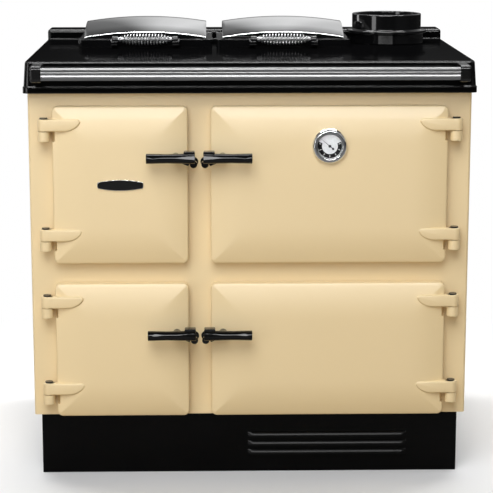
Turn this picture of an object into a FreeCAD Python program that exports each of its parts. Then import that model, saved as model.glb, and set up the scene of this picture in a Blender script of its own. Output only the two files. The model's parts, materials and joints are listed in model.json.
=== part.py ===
import FreeCAD, Part
import math
import os

# Cast iron range cooker with two oven doors, two service doors and two hob lids.
# Millimetres. The origin is on the floor under the middle of the overall box.
# +X is to the right seen from the front, +Y runs to the back and +Z is up.

os.makedirs("parts", exist_ok=True)
Vec = FreeCAD.Vector

# Overall sizes
hob_width = 990.0
hob_depth = 680.0
hob_height = 944.0
apron_height = 69.0
hob_overhang = 9.0
plinth_height = 147.0
plinth_side_inset = 13.0
panel_setback = 20.0
plinth_setback = 50.0
back_setback = 12.0

# Shares, chosen by hand, of the sizes that they follow
edge_start_share = 0.3
arm_curve_share = 0.28
seal_lip_share = 0.4
lever_waist_share = 0.42
badge_shoulder_share = 0.4
badge_end_shares = (0.12, 0.62)
needle_tail_share = 0.8
dome_foot_share = 0.9
motor_offset_share = 0.6

# Shared small sizes
overrun = 5.0
side_gap = 0.5
running_gap = 0.08
face_gap = 0.3

# Hob plate: rim, flare of the apron, lip and rear ledge
hob_corner = 14.0
hob_rim = 36.0
hob_top_wall = 12.0
apron_lip = 13.0
apron_lip_step = 2.0
apron_flare = 5.5
hob_edge_round = 4.0
ledge_depth = 85.0
ledge_height = 24.0
ledge_round = 7.0

# Front panel and doors
panel_wall = 12.0
panel_edge_round = 6.0
door_margin = 54.0
column_width = 50.0
left_door_width = 295.0
door_top_gap = 28.0
upper_door_height = 348.0
door_mid_gap = 46.0
lower_door_height = 303.0
door_corner = 12.0
door_back_gap = 2.0
door_rim = 24.0
door_bulge = 12.0
door_border = 80.0
door_edge_round = 3.0
door_skirt = 8.0
door_land = 9.0
door_pocket_inset = 34.0
door_front_wall = 9.0
aperture_inset = 24.0
aperture_corner = 16.0

# Door liner and rope seal
seal_width = 11.0
seal_inner_corner = 8.0
liner_plate = 3.0
liner_wall = 3.0
liner_gap = 7.0
liner_stand = 10.0

# Door hinges
hinge_outset = 18.0
hinge_forward = 24.0
knuckle_radius = 13.0
arm_height = 26.0
arm_reach = 80.0
arm_straight = 46.0
arm_depth = 15.0
arm_tip_round = 6.0
hinge_top_drop = 27.0
hinge_bottom_rise = 52.0
lug_height = 21.0
lug_gap = 1.2
lug_web = 20.0
lug_scoop = 24.0
hinge_pin_radius = 5.5
pin_head_radius = 8.7
pin_head_height = 2.6

# Lever handles and keepers
handle_drop = 108.5
pivot_inset = 26.0
grip_length = 64.0
head_length = 42.0
lever_forward = 30.0
lever_end_radius = 11.0
lever_waist_radius = 10.0
lever_head_radius = 11.4
lever_chamfer = 1.6
boss_width = 25.0
boss_rise = 15.5
boss_front = 5.0
boss_back = 15.0
cam_thickness = 10.0
cam_hub_radius = 12.0
cam_bar = 15.0
spindle_radius = 6.0
spindle_bite = 14.0
keeper_outset = 12.5
keeper_drop = 15.5
keeper_radius = 8.0
keeper_stem = 4.5
keeper_flange = 10.0
keeper_flange_depth = 3.0

# Badge
badge_length = 101.0
badge_height = 24.0
badge_end_height = 13.0
badge_depth = 2.4
badge_rise = 3.0

# Thermometer
gauge_drop = 86.0
bezel_radius = 38.5
bezel_front = 11.0
bezel_lip = 4.0
bezel_bevel = 6.0
bezel_sink = 2.5
barrel_radius = 32.0
barrel_length = 12.0
dial_radius = 29.0
dial_depth = 1.2
dial_back = 1.5
glass_radius = 29.0
glass_depth = 1.8
glass_front = 7.6
needle_length = 24.0
needle_tail = 9.0
needle_width = 1.5
needle_hub = 3.2
needle_depth = 0.8
needle_front = 3.2
needle_angle = 50.0
probe_radius = 4.0
probe_reach = 45.0

# Front rail
rail_axis_reach = 50.0
rail_axis_drop = 22.0
rail_height = 26.8
rail_body_depth = 13.0
rail_reed_count = 4
rail_reed_bulge = 2.0
rail_end_inset = 46.0
bracket_width = 22.6
bracket_height = 36.0
bracket_round = 8.0
bracket_nose = 1.5

# Flue boss
boss_margin = 56.0
boss_gap = 4.5
boss_centre_back = 496.0
flue_bore_radius = 76.0
flue_ring_radius = 83.5
flue_flange_radius = 96.0
flue_foot_radius = 90.0
flue_spigot_radius = 84.0
flue_foot_height = 24.0
flue_flange_top = 32.0
flue_height = 70.0
flue_round = 2.5

# Lids
lid_margin = 99.0
lid_gap = 10.5
lid_front_back = 346.0
lid_frame_depth = 246.0
lid_frame_height = 18.6
lid_frame_corner = 8.0
lid_frame_lift = 0.5
lid_cover_side = 14.0
lid_cover_inset = 4.0
lid_front_crown = 36.0
lid_side_fall = 12.0
lid_crest = 65.0
lid_cover_wall = 2.0
lid_cover_foot = 1.5
lid_front_recess = 1.2
lid_cavity_inset = 14.0
lid_cavity_top = 17.0
lid_void_inset = 28.0
lid_void_top = 27.0
lid_liner_depth = 5.0
lid_liner_corner = 10.0

# Lid handle
lid_rod_forward = 20.0
lid_rod_height = 21.5
lid_rod_radius = 4.0
ferrule_radius = 7.0
ferrule_start = 63.0
ferrule_length = 14.0
collar_radius = 5.6
collar_length = 4.0
lug_side = 3.0
lug_front = 8.0
lug_foot = 5.0

# Wire coil on the lid handle
coil_turns = 15
coil_pitch = 7.2
coil_wire_radius = 1.55
coil_middle_radius = 12.0

# Lid hinges
lid_hinge_back = 7.0
lid_hinge_rise = 10.0
lid_hinge_offset = 60.0
lid_knuckle_radius = 8.5
lid_knuckle_width = 14.0
lid_arm_height = 6.5
lid_arm_drop = 1.0
lid_pin_radius = 4.0
lid_ear_width = 6.0
lid_yoke_depth = 12.0
lid_yoke_gap = 2.0
lid_yoke_height = 12.0

# Hotplate and flue chest
pad_inset = 26.0
pad_corner = 22.0
pad_gap = 2.0
pad_rise = 5.0
hotplate_depth = 32.0
hotplate_flange = 14.0
chest_side_inset = 60.0
chest_front_inset = 46.0
chest_back_inset = 28.0
chest_wall = 6.0
outlet_border = 26.0

# Sheet casing, base and feet
sheet = 2.0
base_thickness = 8.0
plinth_back_inset = 40.0
plinth_flange = 24.0
foot_inset = 70.0
foot_radius = 28.0
foot_height = 9.0
foot_stem_radius = 8.0

# Plinth louvres
louvre_length = 363.0
louvre_centre_x = 177.0
louvre_centre_height = 63.7
louvre_pitch = 20.4
louvre_count = 3
louvre_opening = 7.0
louvre_proud = 6.0
louvre_cheek = 11.0

# Ovens and shelves
oven_side_inset = 59.5
oven_depth = 420.0
main_oven_height = 280.0
lower_oven_height = 236.0
oven_wall = 8.0
mouth_step = 6.0
runner_depth = 8.0
runner_height = 5.0
main_shelf_heights = (64.0, 164.0)
lower_shelf_heights = (104.0,)
shelf_side_gap = 2.0
shelf_setback = 34.0
shelf_back_gap = 16.0
shelf_thickness = 6.0
shelf_frame = 9.0
shelf_bar = 6.0
shelf_bar_count = 13

# Combustion chamber, burner, controls and fuel pipe
chamber_front_y = -20.0
chamber_side_inset = 66.0
chamber_back_inset = 40.0
chamber_column_inset = 13.0
chamber_wall = 10.0
burner_height = 150.0
burner_hole = 45.0
burner_tube = 44.0
burner_body_radius = 78.0
burner_body_length = 120.0
burner_body_gap = 40.0
burner_motor_radius = 42.0
burner_motor_length = 70.0
burner_stand_width = 60.0
control_shelf_height = 474.0
control_shelf = 3.0
control_depth = 110.0
control_width = 220.0
control_low = 566.0
control_high = 790.0
knob_radius = 21.0
knob_grip_radius = 16.0
knob_depth = 20.0
knob_skirt = 5.0
knob_height = 690.0
knob_shaft_radius = 3.0
knob_gap = 0.6
pipe_radius = 7.5
pipe_side_inset = 44.0
pipe_height = 270.0

# Levels worked out from the sizes above
rail_reach = rail_axis_reach + rail_body_depth / 2 + rail_reed_bulge + bracket_nose
hob_front = -(hob_depth + rail_reach) / 2 + rail_reach
hob_back = hob_front + hob_depth
apron_bottom = hob_height - apron_height
panel_face = hob_front + panel_setback
panel_back = panel_face + panel_wall
body_width = hob_width - 2 * hob_overhang
body_half = body_width / 2
plinth_width = body_width - 2 * plinth_side_inset
casing_back = hob_back - back_setback
ledge_front = hob_back - ledge_depth
ledge_top = hob_height + ledge_height
door_rim_y = panel_face - door_rim
door_flat_y = door_rim_y - door_bulge
door_back_y = panel_face - door_back_gap
door_land_y = door_back_y - door_land
upper_door_top = apron_bottom - door_top_gap
upper_door_bottom = upper_door_top - upper_door_height
lower_door_top = upper_door_bottom - door_mid_gap
lower_door_bottom = lower_door_top - lower_door_height
column_left = -body_half + door_margin + left_door_width
column_right = column_left + column_width
hinge_y = panel_face - hinge_forward
lever_y = door_flat_y - lever_forward
cam_front_y = lever_y + boss_back + 2 * side_gap
cam_back_y = cam_front_y + cam_thickness
floor_top = plinth_height + base_thickness
boss_centre_x = hob_width / 2 - boss_margin - flue_flange_radius
lids_left = -hob_width / 2 + lid_margin
lids_right = boss_centre_x - flue_flange_radius - boss_gap
lid_frame_width = (lids_right - lids_left - lid_gap) / 2
lid_left_x = lids_left + lid_frame_width / 2
lid_right_x = lid_left_x + lid_frame_width + lid_gap
lid_cover_width = lid_frame_width - 2 * lid_cover_side
lid_front = hob_front + lid_front_back
lid_back = lid_front + lid_frame_depth
lid_hinge_y = ledge_front + lid_hinge_back
lid_hinge_z = ledge_top + lid_hinge_rise
oven_x = (column_right + body_half - door_margin) / 2
oven_width = body_half - door_margin - column_right - 2 * oven_side_inset
main_oven_floor = (upper_door_top + upper_door_bottom - main_oven_height) / 2
lower_oven_floor = (lower_door_top + lower_door_bottom - lower_oven_height) / 2
chest_bottom = main_oven_floor + main_oven_height + oven_wall
chest_top = hob_height - hob_top_wall - hotplate_depth
boss_centre_y = hob_front + boss_centre_back
shelf_length = oven_depth - shelf_setback - shelf_back_gap

# The four doors: x range, z range and the side that the hinges are on
doors = {
    "upper_left": (-body_half + door_margin, column_left, upper_door_bottom, upper_door_top, -1),
    "upper_right": (column_right, body_half - door_margin, upper_door_bottom, upper_door_top, 1),
    "lower_left": (-body_half + door_margin, column_left, lower_door_bottom, lower_door_top, -1),
    "lower_right": (column_right, body_half - door_margin, lower_door_bottom, lower_door_top, 1),
}
lids = {"left": lid_left_x, "right": lid_right_x}
axis_directions = {"x": Vec(1, 0, 0), "y": Vec(0, 1, 0), "z": Vec(0, 0, 1)}


def box(x0, x1, y0, y1, z0, z1):
    return Part.makeBox(x1 - x0, y1 - y0, z1 - z0, Vec(x0, y0, z0))


def rod(radius, start, end):
    return Part.makeCylinder(radius, (end - start).Length, start, end - start)


def fused(shapes):
    return shapes[0].fuse(shapes[1:]).removeSplitter()


def level(z):
    return lambda a, b: Vec(a, b, z)


def upright(y):
    return lambda a, b: Vec(a, y, b)


def rounded_wire(a0, a1, b0, b1, radius, place):
    inset = radius * (1 - 1 / math.sqrt(2))
    stops = [
        (a0 + radius, b0), (a1 - radius, b0), (a1 - inset, b0 + inset),
        (a1, b0 + radius), (a1, b1 - radius), (a1 - inset, b1 - inset),
        (a1 - radius, b1), (a0 + radius, b1), (a0 + inset, b1 - inset),
        (a0, b1 - radius), (a0, b0 + radius), (a0 + inset, b0 + inset),
    ]
    points = [place(a, b) for a, b in stops]
    edges = []
    for i in range(0, len(points), 3):
        edges.append(Part.LineSegment(points[i], points[i + 1]).toShape())
        after = points[(i + 3) % len(points)]
        edges.append(Part.Arc(points[i + 1], points[i + 2], after).toShape())
    return Part.Wire(edges)


def rounded_slab(x0, x1, y0, y1, radius, z0, z1):
    face = Part.Face(rounded_wire(x0, x1, y0, y1, radius, level(z0)))
    return face.extrude(Vec(0, 0, z1 - z0))


def rounded_panel(x0, x1, z0, z1, radius, y0, y1):
    face = Part.Face(rounded_wire(x0, x1, z0, z1, radius, upright(y0)))
    return face.extrude(Vec(0, y1 - y0, 0))


def prism(points, travel):
    return Part.Face(Part.makePolygon(points + [points[0]])).extrude(travel)


def turned(profile, axis, x, y, z):
    # The profile is a closed list of (radius, distance along the axis)
    place = {
        "x": lambda r, a: Vec(a, r, 0),
        "y": lambda r, a: Vec(r, a, 0),
        "z": lambda r, a: Vec(r, 0, a),
    }[axis]
    points = [place(r, a) for r, a in profile]
    face = Part.Face(Part.makePolygon(points + [points[0]]))
    solid = face.revolve(Vec(0, 0, 0), axis_directions[axis], 360)
    solid.translate(Vec(x, y, z))
    return solid


def softened(shape, radius, chosen):
    edges = [edge for edge in shape.Edges if chosen(edge)]
    return shape.makeFillet(radius, edges)


def near(a, b):
    return abs(a - b) < running_gap


# Hob


def hob_plate():
    half = hob_width / 2
    inset_at = [
        (apron_bottom, 0),
        (apron_bottom + apron_lip, 0),
        (apron_bottom + apron_lip + apron_lip_step, apron_lip_step),
        (hob_height - hob_edge_round, apron_flare),
        (hob_height - hob_edge_round * edge_start_share, apron_flare + hob_edge_round * edge_start_share),
        (hob_height, apron_flare + hob_edge_round),
    ]
    wires = []
    for z, inset in inset_at:
        radius = hob_corner - inset / 2
        wires.append(rounded_wire(
            -half + inset, half - inset, hob_front + inset, hob_back - inset, radius, level(z)))
    plate = Part.makeLoft(wires, True, True)
    ledge_half = half - apron_flare
    ledge_low = hob_height - hob_edge_round
    ledge = box(-ledge_half, ledge_half, ledge_front, hob_back - apron_flare, ledge_low, ledge_top)
    upright_length = ledge_top - ledge_low
    ledge = softened(
        ledge, ledge_round,
        lambda e: near(e.CenterOfMass.z, ledge_top) or near(e.Length, upright_length))
    plate = plate.cut(ledge)
    inner = rounded_slab(
        -half + hob_rim, half - hob_rim, hob_front + hob_rim, hob_back - hob_rim, hob_corner,
        apron_bottom - overrun, hob_height - hob_top_wall)
    plate = plate.cut(inner)
    for x in lids.values():
        plate = plate.cut(pad_slab(x, pad_gap, chest_bottom, hob_height + overrun))
    spigot_hole = rod(
        flue_spigot_radius, Vec(boss_centre_x, boss_centre_y, chest_bottom),
        Vec(boss_centre_x, boss_centre_y, hob_height + overrun))
    return Part.makeCompound([plate.cut(spigot_hole).removeSplitter(), ledge])


def pad_slab(x, growth, z0, z1):
    half = lid_frame_width / 2 - pad_inset + growth
    front = lid_front + pad_inset - growth
    back = lid_back - pad_inset + growth
    return rounded_slab(x - half, x + half, front, back, pad_corner + growth, z0, z1)


def hotplate():
    under = hob_height - hob_top_wall
    half = lid_frame_width / 2 - pad_inset + hotplate_flange
    slab = rounded_slab(
        lid_left_x - half, lid_right_x + half,
        lid_front + pad_inset - hotplate_flange, lid_back - pad_inset + hotplate_flange,
        pad_corner, chest_top, under)
    pads = [pad_slab(x, 0, under - overrun, hob_height + pad_rise) for x in lids.values()]
    return fused([slab] + pads)


def flue_boss():
    foot = hob_height
    profile = [
        (flue_bore_radius, chest_top - chest_wall),
        (flue_spigot_radius, chest_top - chest_wall),
        (flue_spigot_radius, foot),
        (flue_foot_radius, foot),
        (flue_foot_radius, foot + flue_foot_height),
        (flue_flange_radius - flue_round, foot + flue_foot_height),
        (flue_flange_radius, foot + flue_foot_height + flue_round),
        (flue_flange_radius, foot + flue_flange_top - flue_round),
        (flue_flange_radius - flue_round, foot + flue_flange_top),
        (flue_ring_radius + flue_round, foot + flue_flange_top),
        (flue_ring_radius, foot + flue_flange_top + flue_round),
        (flue_ring_radius, foot + flue_height - flue_round),
        (flue_ring_radius - flue_round, foot + flue_height),
        (flue_bore_radius + flue_round, foot + flue_height),
        (flue_bore_radius, foot + flue_height - flue_round),
    ]
    return turned(profile, "z", boss_centre_x, boss_centre_y, 0)


def rail_bar():
    half = hob_width / 2 - rail_end_inset
    back = hob_front - rail_axis_reach + rail_body_depth / 2
    front = back - rail_body_depth
    low = hob_height - rail_axis_drop - rail_height / 2
    reed = rail_height / rail_reed_count
    edges = []
    for i in range(rail_reed_count):
        z = low + i * reed
        edges.append(Part.Arc(
            Vec(-half, front, z), Vec(-half, front - rail_reed_bulge, z + reed / 2),
            Vec(-half, front, z + reed)).toShape())
    top = low + rail_height
    corners = [Vec(-half, front, top), Vec(-half, back, top), Vec(-half, back, low), Vec(-half, front, low)]
    for start, end in zip(corners, corners[1:]):
        edges.append(Part.LineSegment(start, end).toShape())
    return Part.Face(Part.Wire(edges)).extrude(Vec(2 * half, 0, 0))


def rail_brackets():
    inner = hob_width / 2 - rail_end_inset
    middle = hob_height - rail_axis_drop
    nose = hob_front - rail_axis_reach - rail_body_depth / 2 - rail_reed_bulge - bracket_nose
    brackets = []
    for side in (-1, 1):
        x0 = min(side * inner, side * (inner + bracket_width))
        block = box(
            x0, x0 + bracket_width, nose, hob_front + apron_flare,
            middle - bracket_height / 2, middle + bracket_height / 2)
        block = softened(
            block, bracket_round, lambda e: near(e.CenterOfMass.y, nose) and near(e.Length, bracket_width))
        outer = side * (inner + bracket_width)
        block = softened(
            block, bracket_round / 2,
            lambda e: near(e.CenterOfMass.x, outer) and e.CenterOfMass.y < hob_front)
        brackets.append(block.cut(hob_solid))
    return Part.makeCompound(brackets)


# Body


def front_panel():
    panel = box(-body_half, body_half, panel_face, panel_back, plinth_height, apron_bottom)
    panel = softened(
        panel, panel_edge_round,
        lambda e: near(e.CenterOfMass.y, panel_face) and near(abs(e.CenterOfMass.x), body_half))
    for name in doors:
        x0, x1, z0, z1 = aperture(name)
        panel = panel.cut(rounded_panel(
            x0, x1, z0, z1, aperture_corner, panel_face - overrun, panel_back + overrun))
    return panel


def aperture(name):
    # The left openings follow their doors, the right ones the mouths of the ovens
    x0, x1, z0, z1, side = doors[name]
    if side < 0:
        return x0 + aperture_inset, x1 - aperture_inset, z0 + aperture_inset, z1 - aperture_inset
    half = oven_width / 2 + mouth_step
    low = oven_sizes[name]["floor"] - mouth_step
    high = oven_sizes[name]["floor"] + oven_sizes[name]["height"] + mouth_step
    return oven_x - half, oven_x + half, low, high


def side_panel(side):
    x = side * body_half
    inner = x - side * sheet
    return box(min(x, inner), max(x, inner), panel_back, casing_back, plinth_height, apron_bottom)


def back_panel():
    edge = body_half - sheet
    panel = box(-edge, edge, casing_back - sheet, casing_back, plinth_height, apron_bottom)
    hole_x = -body_half + pipe_side_inset
    hole = rod(
        pipe_radius + side_gap, Vec(hole_x, casing_back - overrun, pipe_height),
        Vec(hole_x, casing_back + overrun, pipe_height))
    return panel.cut(hole)


def base_plate():
    edge = body_half - sheet
    return box(-edge, edge, panel_back, casing_back - sheet, plinth_height, floor_top)


def plinth():
    half = plinth_width / 2
    front = hob_front + plinth_setback
    back = hob_back - plinth_back_inset
    shell = box(-half, half, front, back, 0, plinth_height)
    shell = softened(
        shell, sheet, lambda e: near(e.CenterOfMass.y, front) and near(abs(e.CenterOfMass.x), half))
    shell = shell.cut(box(
        -half + sheet, half - sheet, front + sheet, back - sheet, -overrun, plinth_height - sheet))
    shell = shell.cut(box(
        -half + plinth_flange, half - plinth_flange, front + plinth_flange, back - plinth_flange,
        plinth_height - 2 * sheet, plinth_height + overrun))
    first = louvre_centre_height - louvre_pitch * (louvre_count - 1) / 2
    for i in range(louvre_count):
        z = first + i * louvre_pitch
        x0 = louvre_centre_x - louvre_length / 2
        x1 = louvre_centre_x + louvre_length / 2
        shell = shell.cut(box(
            x0 + louvre_cheek, x1 - louvre_cheek, front - overrun, front + overrun,
            z - louvre_opening / 2, z + louvre_opening / 2))
        shell = shell.fuse(louvre_hood(x0, x1, front, z))
    return shell.removeSplitter()


def louvre_hood(x0, x1, front, z):
    # A pressed hood: closed at the top and at its slanted cheeks, open downwards
    low = z - louvre_opening / 2
    high = z + louvre_opening / 2 + louvre_proud
    outer = louvre_block(x0, x1, front, low, high, louvre_proud)
    inner = louvre_block(
        x0 + sheet, x1 - sheet, front, low - overrun, high - sheet, louvre_proud - sheet)
    return outer.cut(inner)


def louvre_block(x0, x1, front, low, high, proud):
    rise = (high - low) / 2
    section = [
        Vec(x0, front, low), Vec(x0, front, high), Vec(x0, front - proud, high - rise),
        Vec(x0, front - proud, low),
    ]
    block = prism(section, Vec(x1 - x0, 0, 0))
    outline = [
        Vec(x0, front, low), Vec(x1, front, low), Vec(x1 - louvre_cheek, front - proud, low),
        Vec(x0 + louvre_cheek, front - proud, low),
    ]
    return block.common(prism(outline, Vec(0, 0, high - low)))


def levelling_feet():
    half = plinth_width / 2
    feet = []
    for x in (-half + foot_inset, half - foot_inset):
        for y in (hob_front + plinth_setback + foot_inset, hob_back - plinth_back_inset - foot_inset):
            profile = [
                (0, 0), (foot_radius, 0), (foot_radius, foot_height / 2), (foot_stem_radius, foot_height),
                (foot_stem_radius, plinth_height), (0, plinth_height),
            ]
            feet.append(turned(profile, "z", x, y, 0))
    return Part.makeCompound(feet)


# Doors


def pillow_y(run):
    # The front of a door at a distance outside its flat middle
    radius = (door_border ** 2 + door_bulge ** 2) / (2 * door_bulge)
    return door_flat_y + radius - math.sqrt(radius ** 2 - run ** 2)


def pillow_block(low, high, other_low, other_high, place, travel_place):
    # A block whose front is flat in the middle and falls along an arc towards both ends
    back = door_back_y + overrun
    reach = door_border + overrun
    half = reach / 2
    start, end = low - overrun, high + overrun
    line = [
        (start, back), (start, pillow_y(reach)), (start + half, pillow_y(half)),
        (start + reach, door_flat_y), (end - reach, door_flat_y),
        (end - half, pillow_y(half)), (end, pillow_y(reach)), (end, back),
    ]
    p = [place(a, y, other_low - overrun) for a, y in line]
    edges = [
        Part.LineSegment(p[0], p[1]).toShape(),
        Part.Arc(p[1], p[2], p[3]).toShape(),
        Part.LineSegment(p[3], p[4]).toShape(),
        Part.Arc(p[4], p[5], p[6]).toShape(),
        Part.LineSegment(p[6], p[7]).toShape(),
        Part.LineSegment(p[7], p[0]).toShape(),
    ]
    return Part.Face(Part.Wire(edges)).extrude(travel_place(other_high - other_low + 2 * overrun))


def door_blank(name):
    x0, x1, z0, z1, side = doors[name]
    across = pillow_block(x0, x1, z0, z1, lambda a, y, b: Vec(a, y, b), lambda d: Vec(0, 0, d))
    upward = pillow_block(z0, z1, x0, x1, lambda a, y, b: Vec(b, y, a), lambda d: Vec(d, 0, 0))
    outline = rounded_panel(x0, x1, z0, z1, door_corner, door_flat_y - overrun, door_back_y)
    blank = across.common(upward).common(outline)
    mid_x, mid_z = (x0 + x1) / 2, (z0 + z1) / 2
    half_x, half_z = (x1 - x0) / 2 - door_corner, (z1 - z0) / 2 - door_corner

    def on_rim(edge):
        c = edge.CenterOfMass
        outside = abs(c.x - mid_x) > half_x or abs(c.z - mid_z) > half_z
        return outside and c.y < door_rim_y + running_gap

    return softened(blank, door_edge_round, on_rim)


def hinge_levels(name):
    # Heights of the undersides of the two hinge arms of a door
    x0, x1, z0, z1, side = doors[name]
    return (z0 + hinge_bottom_rise, z1 - hinge_top_drop - arm_height)


def hinge_x(name):
    x0, x1, z0, z1, side = doors[name]
    return x1 + hinge_outset if side > 0 else x0 - hinge_outset


def free_edge(name):
    # The x of the edge that opens, and the direction from the door towards the column
    x0, x1, z0, z1, side = doors[name]
    return (x0, -1) if side > 0 else (x1, 1)


def hinge_arm(x, side, z):
    front = hinge_y - knuckle_radius
    tip = x - side * arm_reach
    bend = x - side * arm_straight
    top = z + arm_height
    points = [Vec(x, front, z), Vec(x, front, top), Vec(tip, front, top)]
    edges = [
        Part.LineSegment(points[0], points[1]).toShape(),
        Part.LineSegment(points[1], points[2]).toShape(),
        Part.LineSegment(points[2], Vec(tip, front, top - arm_tip_round)).toShape(),
    ]
    curve_rise = (arm_height - arm_tip_round) * arm_curve_share
    curve_mid = Vec((tip + bend) / 2 - side * arm_tip_round / 2, front, z + curve_rise)
    edges.append(Part.Arc(Vec(tip, front, top - arm_tip_round), curve_mid, Vec(bend, front, z)).toShape())
    edges.append(Part.LineSegment(Vec(bend, front, z), points[0]).toShape())
    bar = Part.Face(Part.Wire(edges)).extrude(Vec(0, arm_depth, 0))
    knuckle = rod(knuckle_radius, Vec(x, hinge_y, z), Vec(x, hinge_y, top))
    return bar, knuckle


def door_shell(name):
    x0, x1, z0, z1, side = doors[name]
    shell = door_blank(name)
    x_pin = hinge_x(name)
    for z in hinge_levels(name):
        bar, knuckle = hinge_arm(x_pin, side, z)
        shell = shell.fuse([bar, knuckle])
        low = z - lug_gap - lug_height
        shell = shell.cut(rod(
            lug_scoop, Vec(x_pin, hinge_y, low - lug_gap), Vec(x_pin, hinge_y, z)))
        shell = shell.cut(rod(
            hinge_pin_radius + running_gap, Vec(x_pin, hinge_y, z - overrun),
            Vec(x_pin, hinge_y, z + arm_height + overrun)))
    land = rounded_panel(
        x0 + door_skirt, x1 - door_skirt, z0 + door_skirt, z1 - door_skirt, door_corner,
        door_land_y, door_back_y + overrun)
    inset = door_pocket_inset
    pocket = rounded_panel(
        x0 + inset, x1 - inset, z0 + inset, z1 - inset, door_corner,
        door_flat_y + door_front_wall, door_back_y + overrun)
    shell = shell.cut(land).cut(pocket)
    edge, towards = free_edge(name)
    pivot = edge - towards * pivot_inset
    z_lever = z1 - handle_drop
    shell = shell.cut(rod(
        spindle_radius + running_gap, Vec(pivot, door_flat_y - overrun, z_lever),
        Vec(pivot, door_land_y - door_edge_round, z_lever)))
    if name == "upper_right":
        shell = shell.cut(turned([
            (0, door_flat_y - bezel_front),
            (bezel_radius + side_gap, door_flat_y - bezel_front),
            (bezel_radius + side_gap, door_flat_y + bezel_sink),
            (barrel_radius, door_flat_y + bezel_sink),
            (barrel_radius, door_land_y),
            (0, door_land_y),
        ], "y", oven_x, 0, z1 - gauge_drop))
    return shell.removeSplitter()


def door_liner(name):
    x0, x1, z0, z1, side = doors[name]
    inset = door_skirt + seal_width + side_gap
    plate = rounded_panel(
        x0 + inset, x1 - inset, z0 + inset, z1 - inset, door_corner,
        door_land_y, door_land_y + liner_plate)
    a0, a1, b0, b1 = aperture(name)
    pan = rounded_panel(
        a0 + liner_gap, a1 - liner_gap, b0 + liner_gap, b1 - liner_gap, door_corner,
        door_land_y, panel_face + liner_stand)
    hollow_inset = liner_gap + liner_wall
    hollow = rounded_panel(
        a0 + hollow_inset, a1 - hollow_inset, b0 + hollow_inset, b1 - hollow_inset, door_corner - liner_wall,
        door_land_y - overrun, panel_face + liner_stand - liner_wall)
    liner = plate.fuse(pan).cut(hollow)
    if name == "upper_right":
        liner = liner.cut(rod(
            probe_radius, Vec(oven_x, door_land_y, z1 - gauge_drop),
            Vec(oven_x, panel_face + liner_stand + overrun, z1 - gauge_drop)))
    return liner.removeSplitter()


def door_seal(name):
    x0, x1, z0, z1, side = doors[name]
    ring = []
    for inset, radius in (
            (door_skirt + side_gap, door_corner), (door_skirt + seal_width, seal_inner_corner)):
        ring.append(rounded_panel(
            x0 + inset, x1 - inset, z0 + inset, z1 - inset, radius, door_land_y, panel_face - face_gap))
    seal = ring[0].cut(ring[1])
    lip = (panel_face - face_gap - door_land_y) * seal_lip_share
    return softened(seal, lip, lambda e: near(e.CenterOfMass.y, panel_face - face_gap))


def handle(name):
    x0, x1, z0, z1, side = doors[name]
    edge, towards = free_edge(name)
    pivot = edge - towards * pivot_inset
    z = z1 - handle_drop
    total = grip_length + head_length
    waist_at = total * lever_waist_share
    profile = [
        (0, 0), (lever_end_radius - lever_chamfer, 0), (lever_end_radius, lever_chamfer),
        (lever_waist_radius, waist_at), (lever_head_radius, total - lever_chamfer),
        (lever_head_radius - lever_chamfer, total), (0, total),
    ]
    if towards < 0:
        profile = [(r, -a) for r, a in profile]
    lever = turned(profile, "x", pivot - towards * grip_length, lever_y, z)
    outer = pivot + towards * head_length
    inner = outer - towards * boss_width
    boss = box(
        min(inner, outer), max(inner, outer), lever_y - boss_front, lever_y + boss_back, z, z + boss_rise)
    boss = softened(boss, lever_chamfer, lambda e: near(e.CenterOfMass.z, z + boss_rise))
    neck = rod(cam_hub_radius - lever_chamfer, Vec(pivot, lever_y, z), Vec(pivot, cam_front_y, z))
    hub = rod(cam_hub_radius, Vec(pivot, cam_front_y, z), Vec(pivot, cam_back_y, z))
    spindle = rod(spindle_radius, Vec(pivot, cam_back_y, z), Vec(pivot, door_land_y - spindle_bite / 2, z))
    return fused([lever, boss, neck, hub, cam_lobe(pivot, towards, z), spindle])


def cam_lobe(pivot, towards, z):
    # The lobe points at the keeper and ends on an arc about the spindle, clear of the keeper's head
    run = pivot_inset + keeper_outset
    reach = math.hypot(run, keeper_drop) - keeper_radius - face_gap
    bar = box(0, reach + overrun, cam_front_y, cam_back_y, -cam_bar / 2, cam_bar / 2)
    bar = bar.common(rod(reach, Vec(0, cam_front_y, 0), Vec(0, cam_back_y, 0)))
    angle = math.degrees(math.atan2(keeper_drop, run))
    bar.rotate(Vec(0, 0, 0), Vec(0, 1, 0), angle if towards > 0 else 180 - angle)
    bar.translate(Vec(pivot, 0, z))
    return bar


def latch_keepers():
    keepers = []
    for name in doors:
        edge, towards = free_edge(name)
        x = edge + towards * keeper_outset
        z = doors[name][3] - handle_drop - keeper_drop
        keepers.append(turned([
            (0, cam_front_y), (keeper_radius - lever_chamfer, cam_front_y),
            (keeper_radius, cam_front_y + lever_chamfer), (keeper_radius, cam_back_y),
            (keeper_stem, cam_back_y), (keeper_stem, panel_face - keeper_flange_depth),
            (keeper_flange, panel_face - keeper_flange_depth), (keeper_flange, panel_face),
            (0, panel_face),
        ], "y", x, 0, z))
    return Part.makeCompound(keepers)


def hinge_lugs():
    lugs = []
    for name in doors:
        x = hinge_x(name)
        for z in hinge_levels(name):
            top = z - lug_gap
            low = top - lug_height
            barrel = rod(knuckle_radius, Vec(x, hinge_y, low), Vec(x, hinge_y, top))
            web = box(x - lug_web / 2, x + lug_web / 2, hinge_y, panel_face, low, top)
            bore = rod(hinge_pin_radius, Vec(x, hinge_y, low - overrun), Vec(x, hinge_y, top + overrun))
            lugs.append(barrel.fuse(web).removeSplitter().cut(bore))
    return Part.makeCompound(lugs)


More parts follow.
